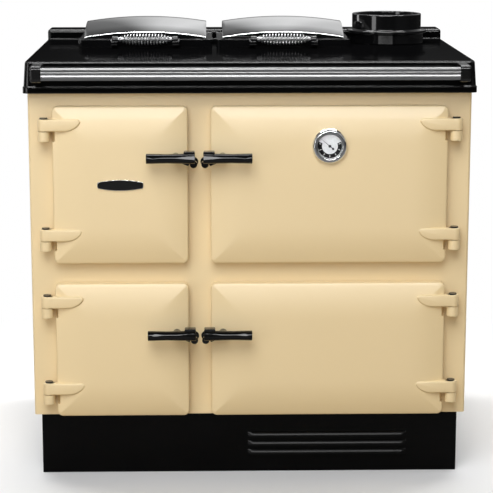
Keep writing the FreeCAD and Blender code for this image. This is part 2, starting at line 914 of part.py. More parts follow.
def hinge_pins():
    pins = []
    for name in doors:
        x = hinge_x(name)
        for z in hinge_levels(name):
            low = z - lug_gap - lug_height
            top = z + arm_height + side_gap
            pins.append(turned([
                (0, low), (hinge_pin_radius, low), (hinge_pin_radius, top), (pin_head_radius, top),
                (pin_head_radius, top + pin_head_height), (0, top + pin_head_height),
            ], "z", x, hinge_y, 0))
    return Part.makeCompound(pins)


def badge():
    x0, x1, z0, z1, side = doors["upper_left"]
    x = (x0 + x1) / 2
    z = (z0 + z1) / 2 + badge_rise
    half = badge_length / 2
    end = badge_end_height / 2
    shoulder = badge_length * badge_shoulder_share
    tip_share, swell_share = badge_end_shares
    tip = half - badge_height * tip_share
    swell = end * swell_share
    outline = [
        (-half, 0), (-shoulder, end), (0, badge_height / 2), (shoulder, end),
        (half, 0), (shoulder, -end), (0, -badge_height / 2), (-shoulder, -end),
    ]
    p = [Vec(x + a, door_flat_y, z + b) for a, b in outline]
    ends = [Vec(x - tip, door_flat_y, z + swell * s) for s in (1, -1)]
    far_ends = [Vec(x + tip, door_flat_y, z + swell * s) for s in (1, -1)]
    edges = [
        Part.Arc(p[0], ends[0], p[1]).toShape(),
        Part.Arc(p[1], p[2], p[3]).toShape(),
        Part.Arc(p[3], far_ends[0], p[4]).toShape(),
        Part.Arc(p[4], far_ends[1], p[5]).toShape(),
        Part.Arc(p[5], p[6], p[7]).toShape(),
        Part.Arc(p[7], ends[1], p[0]).toShape(),
    ]
    return Part.Face(Part.Wire(edges)).extrude(Vec(0, -badge_depth, 0))


# Thermometer


def gauge_height():
    return doors["upper_right"][3] - gauge_drop


def thermometer_case():
    front = door_flat_y - bezel_front
    glass_y = door_flat_y - glass_front
    dial_y = door_flat_y - dial_back
    probe_end = panel_face + probe_reach
    return turned([
        (0, probe_end), (probe_radius, probe_end), (probe_radius, door_flat_y + barrel_length),
        (barrel_radius - side_gap, door_flat_y + barrel_length),
        (barrel_radius - side_gap, door_flat_y + bezel_sink),
        (bezel_radius, door_flat_y + bezel_sink), (bezel_radius, front + bezel_bevel),
        (bezel_radius - bezel_bevel / 2, front + bezel_bevel / 3),
        (bezel_radius - bezel_bevel, front), (dial_radius + side_gap, front),
        (glass_radius - bezel_lip / 2, front + bezel_lip / 2),
        (glass_radius - bezel_lip / 2, glass_y - glass_depth),
        (glass_radius, glass_y - glass_depth), (glass_radius, dial_y), (0, dial_y),
    ], "y", oven_x, 0, gauge_height())


def thermometer_dial():
    back = door_flat_y - dial_back
    return rod(
        dial_radius, Vec(oven_x, back - dial_depth, gauge_height()), Vec(oven_x, back, gauge_height()))


def thermometer_glass():
    back = door_flat_y - glass_front
    return rod(
        glass_radius, Vec(oven_x, back - glass_depth, gauge_height()), Vec(oven_x, back, gauge_height()))


def thermometer_needle():
    z = gauge_height()
    back = door_flat_y - needle_front
    front = back - needle_depth
    hub = rod(needle_hub, Vec(oven_x, front, z), Vec(oven_x, back, z))
    half = needle_width / 2
    outline = [
        Vec(oven_x - half, front, z), Vec(oven_x - half / 3, front, z + needle_length),
        Vec(oven_x + half / 3, front, z + needle_length), Vec(oven_x + half, front, z),
        Vec(oven_x + half, front, z - needle_tail), Vec(oven_x - half, front, z - needle_tail),
    ]
    pointer = prism(outline, Vec(0, needle_depth, 0))
    tail_radius = needle_hub * needle_tail_share
    tail = rod(tail_radius, Vec(oven_x, front, z - needle_tail), Vec(oven_x, back, z - needle_tail))
    needle = fused([hub, pointer, tail])
    needle.rotate(Vec(oven_x, 0, z), Vec(0, 1, 0), -needle_angle)
    return needle


# Lids


def dome_block(x, half_width, lowering, front, back, z_low):
    # A barrel: an arc over the depth of the lid, swung about an axis far below the lid
    cover_half = lid_cover_width / 2
    swing = (cover_half ** 2 + lid_side_fall ** 2) / (2 * lid_side_fall)
    edge_z = hob_height + lid_front_crown - lowering
    crest_z = hob_height + lid_crest - lowering
    arc_front = lid_front + lid_cover_inset
    arc_back = lid_back - lid_cover_inset
    axis_z = edge_z - swing
    foot_z = axis_z + swing * dome_foot_share
    middle = (arc_front + arc_back) / 2
    corners = [
        Vec(x, arc_back, edge_z), Vec(x, arc_back, foot_z),
        Vec(x, arc_front, foot_z), Vec(x, arc_front, edge_z),
    ]
    edges = [Part.Arc(corners[3], Vec(x, middle, crest_z), corners[0]).toShape()]
    for start, end in zip(corners, corners[1:]):
        edges.append(Part.LineSegment(start, end).toShape())
    face = Part.Face(Part.Wire(edges))
    half_angle = math.degrees(math.asin(lid_frame_width / (2 * swing)))
    face.rotate(Vec(x, 0, axis_z), Vec(0, 1, 0), -half_angle)
    barrel = face.revolve(Vec(x, 0, axis_z), Vec(0, 1, 0), 2 * half_angle)
    return barrel.common(box(x - half_width, x + half_width, front, back, z_low, crest_z + overrun))


def lid_cover(x):
    half = lid_cover_width / 2
    front = lid_front + lid_cover_inset
    back = lid_back - lid_cover_inset
    low = hob_height + lid_frame_height + lid_cover_foot
    outer = dome_block(x, half, 0, front, back, low)
    inner = dome_block(x, half - lid_cover_wall, lid_cover_wall, front, back, low)
    return outer.cut(inner)


def lid_frame(x):
    half = lid_frame_width / 2
    low = hob_height + lid_frame_lift
    top = hob_height + lid_frame_height
    frame = rounded_slab(x - half, x + half, lid_front, lid_back, lid_frame_corner, low, top)
    core_half = lid_cover_width / 2 - lid_cover_wall
    front = lid_front + lid_cover_inset + lid_front_recess
    back = lid_back - lid_cover_inset - lid_front_recess
    core = dome_block(x, core_half, lid_cover_wall, front, back, top - overrun)
    seat = box(
        x - lid_cover_width / 2, x + lid_cover_width / 2, lid_front + lid_cover_inset,
        lid_back - lid_cover_inset, low + lid_cover_foot, top + lid_cover_foot)
    frame = frame.fuse([core, seat])
    frame = frame.fuse([lid_handle_lug(x, side) for side in (-1, 1)])
    for offset in (-lid_hinge_offset, lid_hinge_offset):
        frame = frame.fuse(lid_arm(x + offset))
    frame = frame.removeSplitter()
    frame = frame.cut(lid_room(x, lid_cavity_inset, low - overrun, hob_height + lid_cavity_top))
    frame = frame.cut(lid_room(x, lid_void_inset, low, hob_height + lid_void_top))
    for offset in (-lid_hinge_offset, lid_hinge_offset):
        width = lid_knuckle_width / 2 + overrun
        bore = rod(
            lid_pin_radius + running_gap, Vec(x + offset - width, lid_hinge_y, lid_hinge_z),
            Vec(x + offset + width, lid_hinge_y, lid_hinge_z))
        frame = frame.cut(bore)
    reach = ferrule_start + ferrule_length
    return frame.cut(rod(ferrule_radius, Vec(x - reach, rod_y(), rod_z()), Vec(x + reach, rod_y(), rod_z())))


def lid_room(x, inset, z0, z1):
    half = lid_frame_width / 2 - inset
    return rounded_slab(
        x - half, x + half, lid_front + inset, lid_back - inset, lid_liner_corner, z0, z1)


def lid_liner(x):
    top = hob_height + lid_cavity_top
    return lid_room(x, lid_cavity_inset, top - lid_liner_depth, top)


def rod_y():
    return lid_front - lid_rod_forward


def rod_z():
    return hob_height + lid_rod_height


def lid_handle_lug(x, side):
    near_x = x + side * (ferrule_start + lug_side / 2)
    far_x = x + side * (ferrule_start + ferrule_length + lug_side)
    lug = box(
        min(near_x, far_x), max(near_x, far_x), rod_y() - lug_front, lid_front + overrun,
        hob_height + lug_foot, rod_z() - lug_side / 2)
    front = rod_y() - lug_front
    return softened(lug, lug_foot, lambda e: near(e.CenterOfMass.y, front) and near(abs(e.tangentAt(0).x), 1))


def lid_rod(x):
    end = ferrule_start + ferrule_length
    coil_half = coil_turns * coil_pitch / 2
    collar_start = coil_half + coil_wire_radius + side_gap
    bevel = ferrule_radius / 5
    half_line = [
        (lid_rod_radius, collar_start), (collar_radius, collar_start),
        (collar_radius, collar_start + collar_length), (lid_rod_radius, collar_start + collar_length),
        (lid_rod_radius, ferrule_start), (ferrule_radius - bevel, ferrule_start),
        (ferrule_radius, ferrule_start + bevel), (ferrule_radius, end - bevel),
        (ferrule_radius - bevel, end), (0, end),
    ]
    profile = [(r, -a) for r, a in reversed(half_line)] + half_line
    return turned(profile, "x", x, rod_y(), rod_z())


def lid_arm(x):
    half = lid_knuckle_width / 2
    low = ledge_top + lid_arm_drop
    bar = box(
        x - half, x + half, lid_back - lid_cover_inset - lid_front_recess - overrun, lid_hinge_y,
        low, low + lid_arm_height)
    knuckle = rod(
        lid_knuckle_radius, Vec(x - half, lid_hinge_y, lid_hinge_z), Vec(x + half, lid_hinge_y, lid_hinge_z))
    return bar.fuse(knuckle)


def lid_hinge_places():
    return [x + offset for x in lids.values() for offset in (-lid_hinge_offset, lid_hinge_offset)]


def lid_hinge_brackets():
    brackets = []
    inner = lid_knuckle_width / 2 + side_gap
    outer = inner + lid_ear_width
    yoke_front = lid_hinge_y + lid_knuckle_radius + lid_yoke_gap
    for x in lid_hinge_places():
        pieces = []
        for start, end in ((-outer, -inner), (inner, outer)):
            pieces.append(box(
                x + start, x + end, ledge_front + side_gap, yoke_front + lid_yoke_depth,
                ledge_top, lid_hinge_z))
            pieces.append(rod(
                lid_knuckle_radius - 2 * side_gap, Vec(x + start, lid_hinge_y, lid_hinge_z),
                Vec(x + end, lid_hinge_y, lid_hinge_z)))
        pieces.append(box(
            x - outer, x + outer, yoke_front, yoke_front + lid_yoke_depth, ledge_top,
            ledge_top + lid_yoke_height))
        bracket = fused(pieces)
        bore = rod(
            lid_pin_radius, Vec(x - outer - overrun, lid_hinge_y, lid_hinge_z),
            Vec(x + outer + overrun, lid_hinge_y, lid_hinge_z))
        brackets.append(bracket.cut(bore).cut(hob_solid))
    return Part.makeCompound(brackets)


def lid_hinge_pins():
    half = lid_knuckle_width / 2 + side_gap + lid_ear_width
    pins = []
    for x in lid_hinge_places():
        pins.append(rod(
            lid_pin_radius, Vec(x - half, lid_hinge_y, lid_hinge_z), Vec(x + half, lid_hinge_y, lid_hinge_z)))
    return Part.makeCompound(pins)


# Wire coil: a barrel-shaped helix walked in quarter turns, each quarter a biarc


def coil_radius(share):
    end_radius = lid_rod_radius + coil_wire_radius + face_gap
    return end_radius + (coil_middle_radius - end_radius) * (1 - (2 * share - 1) ** 2)


def coil_point(x, share):
    turn = 2 * math.pi * coil_turns * share
    along = (2 * share - 1) * coil_turns * coil_pitch / 2
    radius = coil_radius(share)
    return Vec(x + along, rod_y() + radius * math.sin(turn), rod_z() + radius * math.cos(turn))


def coil_tangent(x, share):
    step = 1e-5
    return (coil_point(x, share + step) - coil_point(x, share - step)).normalize()


def tangent_arc(start, knee, end):
    chord_middle = (start + end) / 2
    rise = (knee - chord_middle).Length
    half_chord = (end - start).Length / 2
    sagitta = half_chord * math.tan(math.atan2(rise, half_chord) / 2)
    middle = chord_middle + (knee - chord_middle).normalize() * sagitta
    return Part.Arc(start, middle, end).toShape()


def biarc(start, start_way, end, end_way):
    chord = end - start
    ways = start_way + end_way
    lead = chord.dot(ways)
    spare = 2 * (1 - start_way.dot(end_way))
    reach = (math.sqrt(lead ** 2 + spare * chord.dot(chord)) - lead) / spare
    first_knee = start + start_way * reach
    last_knee = end - end_way * reach
    joint = (first_knee + last_knee) / 2
    return [tangent_arc(start, first_knee, joint), tangent_arc(joint, last_knee, end)]


def lid_coil(x):
    quarters = 4 * coil_turns
    edges = []
    for i in range(quarters):
        a, b = i / quarters, (i + 1) / quarters
        edges += biarc(coil_point(x, a), coil_tangent(x, a), coil_point(x, b), coil_tangent(x, b))
    path = Part.Wire(edges)
    circle = Part.Circle(coil_point(x, 0), coil_tangent(x, 0), coil_wire_radius)
    return path.makePipeShell([Part.Wire([circle.toShape()])], True, False)


def print_coil_gap(x):
    # Least gap between neighbouring turns, measured on points of the wire's centre line
    per_turn = 36
    points = [coil_point(x, i / (per_turn * coil_turns)) for i in range(per_turn * coil_turns + 1)]
    least = min(
        (points[i] - points[j]).Length
        for i in range(len(points)) for j in range(i + per_turn // 2, min(i + 2 * per_turn, len(points))))
    print("coil: least gap between turns", round(least - 2 * coil_wire_radius, 2))


# Inside


oven_sizes = {
    "upper_right": {"floor": main_oven_floor, "height": main_oven_height, "shelves": main_shelf_heights},
    "lower_right": {"floor": lower_oven_floor, "height": lower_oven_height, "shelves": lower_shelf_heights},
}


def oven_outer(name):
    oven = oven_sizes[name]
    half = oven_width / 2 + oven_wall
    return box(
        oven_x - half, oven_x + half, panel_back, panel_back + oven_depth + oven_wall,
        oven["floor"] - oven_wall, oven["floor"] + oven["height"] + oven_wall)


def oven(name):
    sizes = oven_sizes[name]
    half = oven_width / 2
    shell = oven_outer(name).cut(box(
        oven_x - half, oven_x + half, panel_back - overrun, panel_back + oven_depth,
        sizes["floor"], sizes["floor"] + sizes["height"]))
    for height in sizes["shelves"]:
        top = sizes["floor"] + height
        for side in (-1, 1):
            wall = oven_x + side * half
            lip = wall - side * runner_depth
            shell = shell.fuse(box(
                min(wall, lip), max(wall, lip), panel_back + shelf_setback, panel_back + oven_depth,
                top - runner_height, top))
    return shell.removeSplitter()


def shelf(name, height):
    sizes = oven_sizes[name]
    half = oven_width / 2 - shelf_side_gap
    low = sizes["floor"] + height + face_gap
    front = panel_back + shelf_setback
    grid = box(oven_x - half, oven_x + half, front, front + shelf_length, low, low + shelf_thickness)
    clear = 2 * (half - shelf_frame)
    gap = (clear - (shelf_bar_count - 1) * shelf_bar) / shelf_bar_count
    for i in range(shelf_bar_count):
        x = oven_x - half + shelf_frame + i * (gap + shelf_bar)
        grid = grid.cut(box(
            x, x + gap, front + shelf_frame, front + shelf_length - shelf_frame,
            low - overrun, low + shelf_thickness + overrun))
    return grid


def chamber_bounds():
    return (
        -body_half + chamber_side_inset, column_left - chamber_column_inset, chamber_front_y,
        casing_back - sheet - chamber_back_inset, floor_top, chest_bottom)


def combustion_chamber():
    x0, x1, y0, y1, z0, z1 = chamber_bounds()
    w = chamber_wall
    shell = box(x0, x1, y0, y1, z0, z1).cut(box(x0 + w, x1 - w, y0 + w, y1 - w, z0 + w, z1 + overrun))
    middle = (x0 + x1) / 2
    height = floor_top + burner_height
    return shell.cut(rod(
        burner_hole, Vec(middle, y0 - overrun, height), Vec(middle, y0 + w + overrun, height)))


def flue_chest():
    # A box of flat plates that meet face to face, open over the combustion chamber
    x0 = -hob_width / 2 + chest_side_inset
    x1 = hob_width / 2 - chest_side_inset
    y0 = hob_front + hob_rim + chest_front_inset
    y1 = hob_back - hob_rim - chest_back_inset
    w = chest_wall
    low = chest_bottom + w
    high = chest_top - w
    a0, a1, b0, b1, c0, c1 = chamber_bounds()
    inlet_x0, inlet_x1 = a0 + chamber_wall, a1 - chamber_wall
    inlet_y0, inlet_y1 = b0 + chamber_wall, min(b1, y1) - chamber_wall
    outlet_x = boss_centre_x - flue_spigot_radius - outlet_border
    outlet = box(outlet_x, x1, y0, y1, high, chest_top).cut(rod(
        flue_spigot_radius + side_gap, Vec(boss_centre_x, boss_centre_y, high - overrun),
        Vec(boss_centre_x, boss_centre_y, chest_top + overrun)))
    return Part.makeCompound([
        box(x0, x1, y0, y0 + w, low, high),
        box(x0, x1, y1 - w, y1, low, high),
        box(x0, x0 + w, y0 + w, y1 - w, low, high),
        box(x1 - w, x1, y0 + w, y1 - w, low, high),
        box(x0, inlet_x0, y0, y1, chest_bottom, low),
        box(inlet_x1, x1, y0, y1, chest_bottom, low),
        box(inlet_x0, inlet_x1, y0, inlet_y0, chest_bottom, low),
        box(inlet_x0, inlet_x1, inlet_y1, y1, chest_bottom, low),
        box(x0, outlet_x, y0, y1, high, chest_top),
        outlet,
    ])


def burner():
    x0, x1, y0, y1, z0, z1 = chamber_bounds()
    x = (x0 + x1) / 2
    z = floor_top + burner_height
    back = y0 - burner_body_gap
    front = back - burner_body_length
    body = rod(burner_body_radius, Vec(x, front, z), Vec(x, back, z))
    body = softened(body, burner_body_gap / 4, lambda e: near(e.CenterOfMass.y, front))
    tube = rod(burner_tube, Vec(x, back - overrun, z), Vec(x, y0 + chamber_wall, z))
    motor_x = x + burner_body_radius * motor_offset_share
    motor = rod(
        burner_motor_radius, Vec(motor_x, front + overrun, z), Vec(motor_x, front - burner_motor_length, z))
    half = burner_stand_width / 2
    stand = box(x - half, x + half, (front + back) / 2 - half, (front + back) / 2 + half, floor_top, z)
    return fused([body, tube, motor, stand])


def control_box():
    x0, x1, y0, y1, z0, z1 = chamber_bounds()
    x = (x0 + x1) / 2
    half = control_width / 2
    t = control_shelf
    housing = box(x - half, x + half, y0 - control_depth, y0, control_low, control_high)
    riser = box(x - half, x + half, y0 - t, y0, control_shelf_height, control_low + overrun)
    shelf_plate = box(
        -body_half + sheet, column_left - chamber_column_inset, panel_back, y0,
        control_shelf_height, control_shelf_height + control_shelf)
    housing = fused([housing, riser, shelf_plate])
    housing = housing.cut(box(
        x - half + t, x + half - t, y0 - control_depth + knob_depth, y0 - t, control_low + t,
        control_high - t))
    shaft_hole = rod(
        knob_shaft_radius + running_gap, Vec(x, y0 - control_depth - overrun, knob_height),
        Vec(x, y0 - control_depth + knob_depth, knob_height))
    return housing.cut(shaft_hole)


def thermostat_knob():
    x0, x1, y0, y1, z0, z1 = chamber_bounds()
    x = (x0 + x1) / 2
    back = y0 - control_depth - knob_gap
    front = back - knob_depth
    profile = [
        (0, back + knob_depth / 2), (knob_shaft_radius, back + knob_depth / 2), (knob_shaft_radius, back),
        (knob_radius, back), (knob_radius, back - knob_skirt), (knob_grip_radius, back - knob_skirt),
        (knob_grip_radius - lever_chamfer, front), (0, front),
    ]
    knob = turned(profile, "y", x, 0, knob_height)
    rib = box(
        x - knob_shaft_radius, x + knob_shaft_radius, front - knob_skirt / 2, front + knob_skirt,
        knob_height, knob_height + knob_grip_radius - lever_chamfer)
    return fused([knob, rib])


def oven_insulation():
    x0, x1, y0, y1, z0, z1 = chamber_bounds()
    block = box(x1, body_half - sheet, panel_back, casing_back - sheet, floor_top, chest_bottom)
    for name in oven_sizes:
        block = block.cut(oven_outer(name))
    return block


def fuel_pipe():
    x = -body_half + pipe_side_inset
    x0, x1, y0, y1, z0, z1 = chamber_bounds()
    middle = (x0 + x1) / 2
    burner_middle = y0 - burner_body_gap - burner_body_length / 2
    run = rod(pipe_radius, Vec(x, burner_middle, pipe_height), Vec(x, hob_back, pipe_height))
    elbow = Part.makeSphere(pipe_radius, Vec(x, burner_middle, pipe_height))
    centre_z = floor_top + burner_height
    side_reach = math.sqrt(burner_body_radius ** 2 - (centre_z - pipe_height + pipe_radius) ** 2)
    feed_end = middle - side_reach + overrun
    feed = rod(
        pipe_radius, Vec(x, burner_middle, pipe_height), Vec(feed_end, burner_middle, pipe_height))
    return fused([run, elbow, feed]).cut(burner_solid)


def save(node, shape):
    shape.exportStep("parts/" + node + ".step")
    print(node, len(shape.Solids), round(shape.Volume))


hob_solid = hob_plate()
burner_solid = burner()
save("hob_plate", hob_solid)
save("hotplate", hotplate())
save("flue_boss", flue_boss())
save("rail_bar", rail_bar())
save("rail_brackets", rail_brackets())
save("front_panel", front_panel())
save("side_panel_left", side_panel(-1))
save("side_panel_right", side_panel(1))
save("back_panel", back_panel())
save("base_plate", base_plate())
save("plinth", plinth())
save("levelling_feet", levelling_feet())
save("hinge_lugs", hinge_lugs())
save("hinge_pins", hinge_pins())
save("latch_keepers", latch_keepers())
for name in doors:
    save("door_shell_" + name, door_shell(name))
    save("door_liner_" + name, door_liner(name))
    save("door_seal_" + name, door_seal(name))
    save("handle_" + name, handle(name))
save("badge", badge())
save("thermometer_case", thermometer_case())
save("thermometer_dial", thermometer_dial())
save("thermometer_needle", thermometer_needle())
save("thermometer_glass", thermometer_glass())
for side, x in lids.items():
    save("lid_frame_" + side, lid_frame(x))
    save("lid_cover_" + side, lid_cover(x))
    save("lid_liner_" + side, lid_liner(x))
    save("lid_rod_" + side, lid_rod(x))
    save("lid_coil_" + side, lid_coil(x))
print_coil_gap(lid_left_x)
save("lid_hinge_brackets", lid_hinge_brackets())
save("lid_hinge_pins", lid_hinge_pins())
save("main_oven", oven("upper_right"))
save("lower_oven", oven("lower_right"))
save("main_oven_shelf_lower", shelf("upper_right", main_shelf_heights[0]))
save("main_oven_shelf_upper", shelf("upper_right", main_shelf_heights[1]))
save("lower_oven_shelf", shelf("lower_right", lower_shelf_heights[0]))
save("combustion_chamber", combustion_chamber())
save("flue_chest", flue_chest())
save("burner", burner_solid)
save("control_box", control_box())
save("thermostat_knob", thermostat_knob())
save("oven_insulation", oven_insulation())
save("fuel_pipe", fuel_pipe())
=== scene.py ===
import json
import math
import bpy
import bmesh
from mathutils import Matrix, Vector


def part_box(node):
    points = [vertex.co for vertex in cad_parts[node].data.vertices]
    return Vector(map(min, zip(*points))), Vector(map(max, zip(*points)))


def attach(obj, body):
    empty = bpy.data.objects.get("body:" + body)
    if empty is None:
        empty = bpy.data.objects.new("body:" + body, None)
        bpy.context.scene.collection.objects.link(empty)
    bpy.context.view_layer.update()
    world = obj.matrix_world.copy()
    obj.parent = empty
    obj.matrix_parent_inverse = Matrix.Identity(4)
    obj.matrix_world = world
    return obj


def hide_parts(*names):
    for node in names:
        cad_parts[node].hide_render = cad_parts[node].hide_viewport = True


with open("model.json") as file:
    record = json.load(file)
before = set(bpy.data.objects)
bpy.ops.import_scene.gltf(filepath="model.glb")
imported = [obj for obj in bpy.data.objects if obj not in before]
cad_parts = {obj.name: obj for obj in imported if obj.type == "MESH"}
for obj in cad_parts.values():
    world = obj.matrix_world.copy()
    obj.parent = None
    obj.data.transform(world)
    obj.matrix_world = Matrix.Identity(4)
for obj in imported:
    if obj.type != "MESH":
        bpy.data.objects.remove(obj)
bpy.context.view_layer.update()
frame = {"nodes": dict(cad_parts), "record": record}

record = frame["record"]
cadNodes = frame["nodes"]
bodyOfNode = {node: body for body, group in record["behaviour"]["bodies"].items() for node in group}
mm = 0.001
print("stage: frame loaded")


def inMetres(**lengths):
    # Turns lengths written in millimetres into metres
    return {name: length * mm for name, length in lengths.items()}


def addObject(name, data):
    made = bpy.data.objects.new(name, data)
    bpy.context.scene.collection.objects.link(made)
    return made


# Camera, placed where the photographer stood

cameraView = {"place": (-0.093, -4.175, 1.310), "down": 11.33, "right": 1.25, "lens": 130.3,
              "sensor": 36, "near": 0.1, "far": 60}


def addCamera():
    data = bpy.data.cameras.new("rangeCamera")
    data.lens = cameraView["lens"]
    data.sensor_width = cameraView["sensor"]
    data.clip_start = cameraView["near"]
    data.clip_end = cameraView["far"]
    camera = addObject("rangeCamera", data)
    camera.location = cameraView["place"]
    camera.rotation_euler = (
        math.radians(90 - cameraView["down"]), 0, math.radians(-cameraView["right"]))
    bpy.context.scene.camera = camera


addCamera()
print("stage: camera placed")


# Small helpers for node trees

def addNode(tree, kind, feeds=None, **settings):
    # A feed that is a socket is linked to the input of its name, and any other is its value
    node = tree.nodes.new(kind)
    for key, value in settings.items():
        setattr(node, key, value)
    for key, value in (feeds or {}).items():
        if isinstance(value, bpy.types.NodeSocket):
            tree.links.new(value, node.inputs[key])
        else:
            node.inputs[key].default_value = value
    return node


def flow(tree, kind, feeds=None, **settings):
    # A node's first output
    return addNode(tree, kind, feeds, **settings).outputs[0]


def sums(tree, operation, *values):
    return flow(tree, "ShaderNodeMath", dict(enumerate(values)), operation=operation)


def times(tree, first, second):
    return sums(tree, "MULTIPLY", first, second)


def combined(tree, x=0.0, y=0.0, z=0.0):
    return flow(tree, "ShaderNodeCombineXYZ", {"X": x, "Y": y, "Z": z})


def mixed(tree, factor, first, second):
    return flow(tree, "ShaderNodeMixShader", {0: factor, 1: first, 2: second})


def startMaterial(name):
    made = bpy.data.materials.new(name)
    made.use_nodes = True
    made.node_tree.nodes.clear()
    coords = addNode(made.node_tree, "ShaderNodeTexCoord")
    return made, made.node_tree, coords.outputs["Object"]


def noiseOn(tree, place, scale, detail=3.0, rough=0.5, stretch=None):
    if stretch:
        place = flow(tree, "ShaderNodeMapping", {"Vector": place, "Scale": stretch})
    return flow(tree, "ShaderNodeTexNoise", {
        "Vector": place, "Scale": scale, "Detail": detail, "Roughness": rough})


def colourRamp(tree, factor, stops):
    ramp = addNode(tree, "ShaderNodeValToRGB", {"Fac": factor})
    while len(ramp.color_ramp.elements) < len(stops):
        ramp.color_ramp.elements.new(0.5)
    for element, (place, colour) in zip(ramp.color_ramp.elements, stops):
        element.position = place
        element.color = (*colour, 1)
    return ramp.outputs["Color"]


def spread(tree, factor, low, high):
    return flow(tree, "ShaderNodeMapRange", {"Value": factor, "To Min": low, "To Max": high})


def bumpOn(tree, height, strength, distance, edge=0.0):
    feeds = {"Height": height, "Strength": strength, "Distance": distance}
    if edge:
        feeds["Normal"] = flow(tree, "ShaderNodeBevel", {"Radius": edge}, samples=4)
    return flow(tree, "ShaderNodeBump", feeds)


def shade(colour, share):
    return tuple(part * share for part in colour)


def shades(colour, *stops):
    return [(place, shade(colour, share)) for place, share in stops]


# Materials. A look lists its noises by scale, detail, roughness and stretch, and its cells by scale
# and kind. It names the one that drives the colour, the one for the roughness with its range, and
# the one for the bump with its strength, distance and softened edge

white = (1.0, 1.0, 1.0)
metal = {"Metallic": 1.0}


def blackLook(colour, specular, rough, peel, depth, edge=0.0012, fade=None):
    return {"noises": {"tone": (7.0,), "cloud": (24.0,), "peel": (peel, 2.0)},
            "colour": ("tone", shades(colour, (0.35, 0.85), (0.65, 1.15))),
            "rough": ("cloud", *rough), "bump": ("peel", depth, 0.0005, edge),
            "fixed": {"Specular IOR Level": specular}, "flat": (*colour, 1), "fade": fade}


def chromeLook(low, high):
    return {"noises": {"tone": (5.0,), "polish": (40.0, 4.0, 0.6, (1.0, 5.0, 1.0))},
            "colour": ("tone", [(0.3, (0.78, 0.785, 0.79)), (0.7, (0.84, 0.845, 0.85))]),
            "rough": ("polish", low, high), "bump": ("polish", 0.003, 0.0002, 0.0006), "fixed": metal}


def grainLook(noise, colours, bump, rough=None, fixed=None):
    # One noise drives all
    return {"noises": {"grain": noise}, "colour": ("grain", colours), "bump": ("grain", *bump),
            "rough": rough and ("grain", *rough), "fixed": fixed or {}}


def inkLook(colour):
    return {"noises": {"grain": (800.0,)}, "colour": ("grain", shades(colour, (0.3, 0.9), (0.7, 1.1))),
            "fixed": {"Roughness": 0.5, "Specular IOR Level": 0.15}}


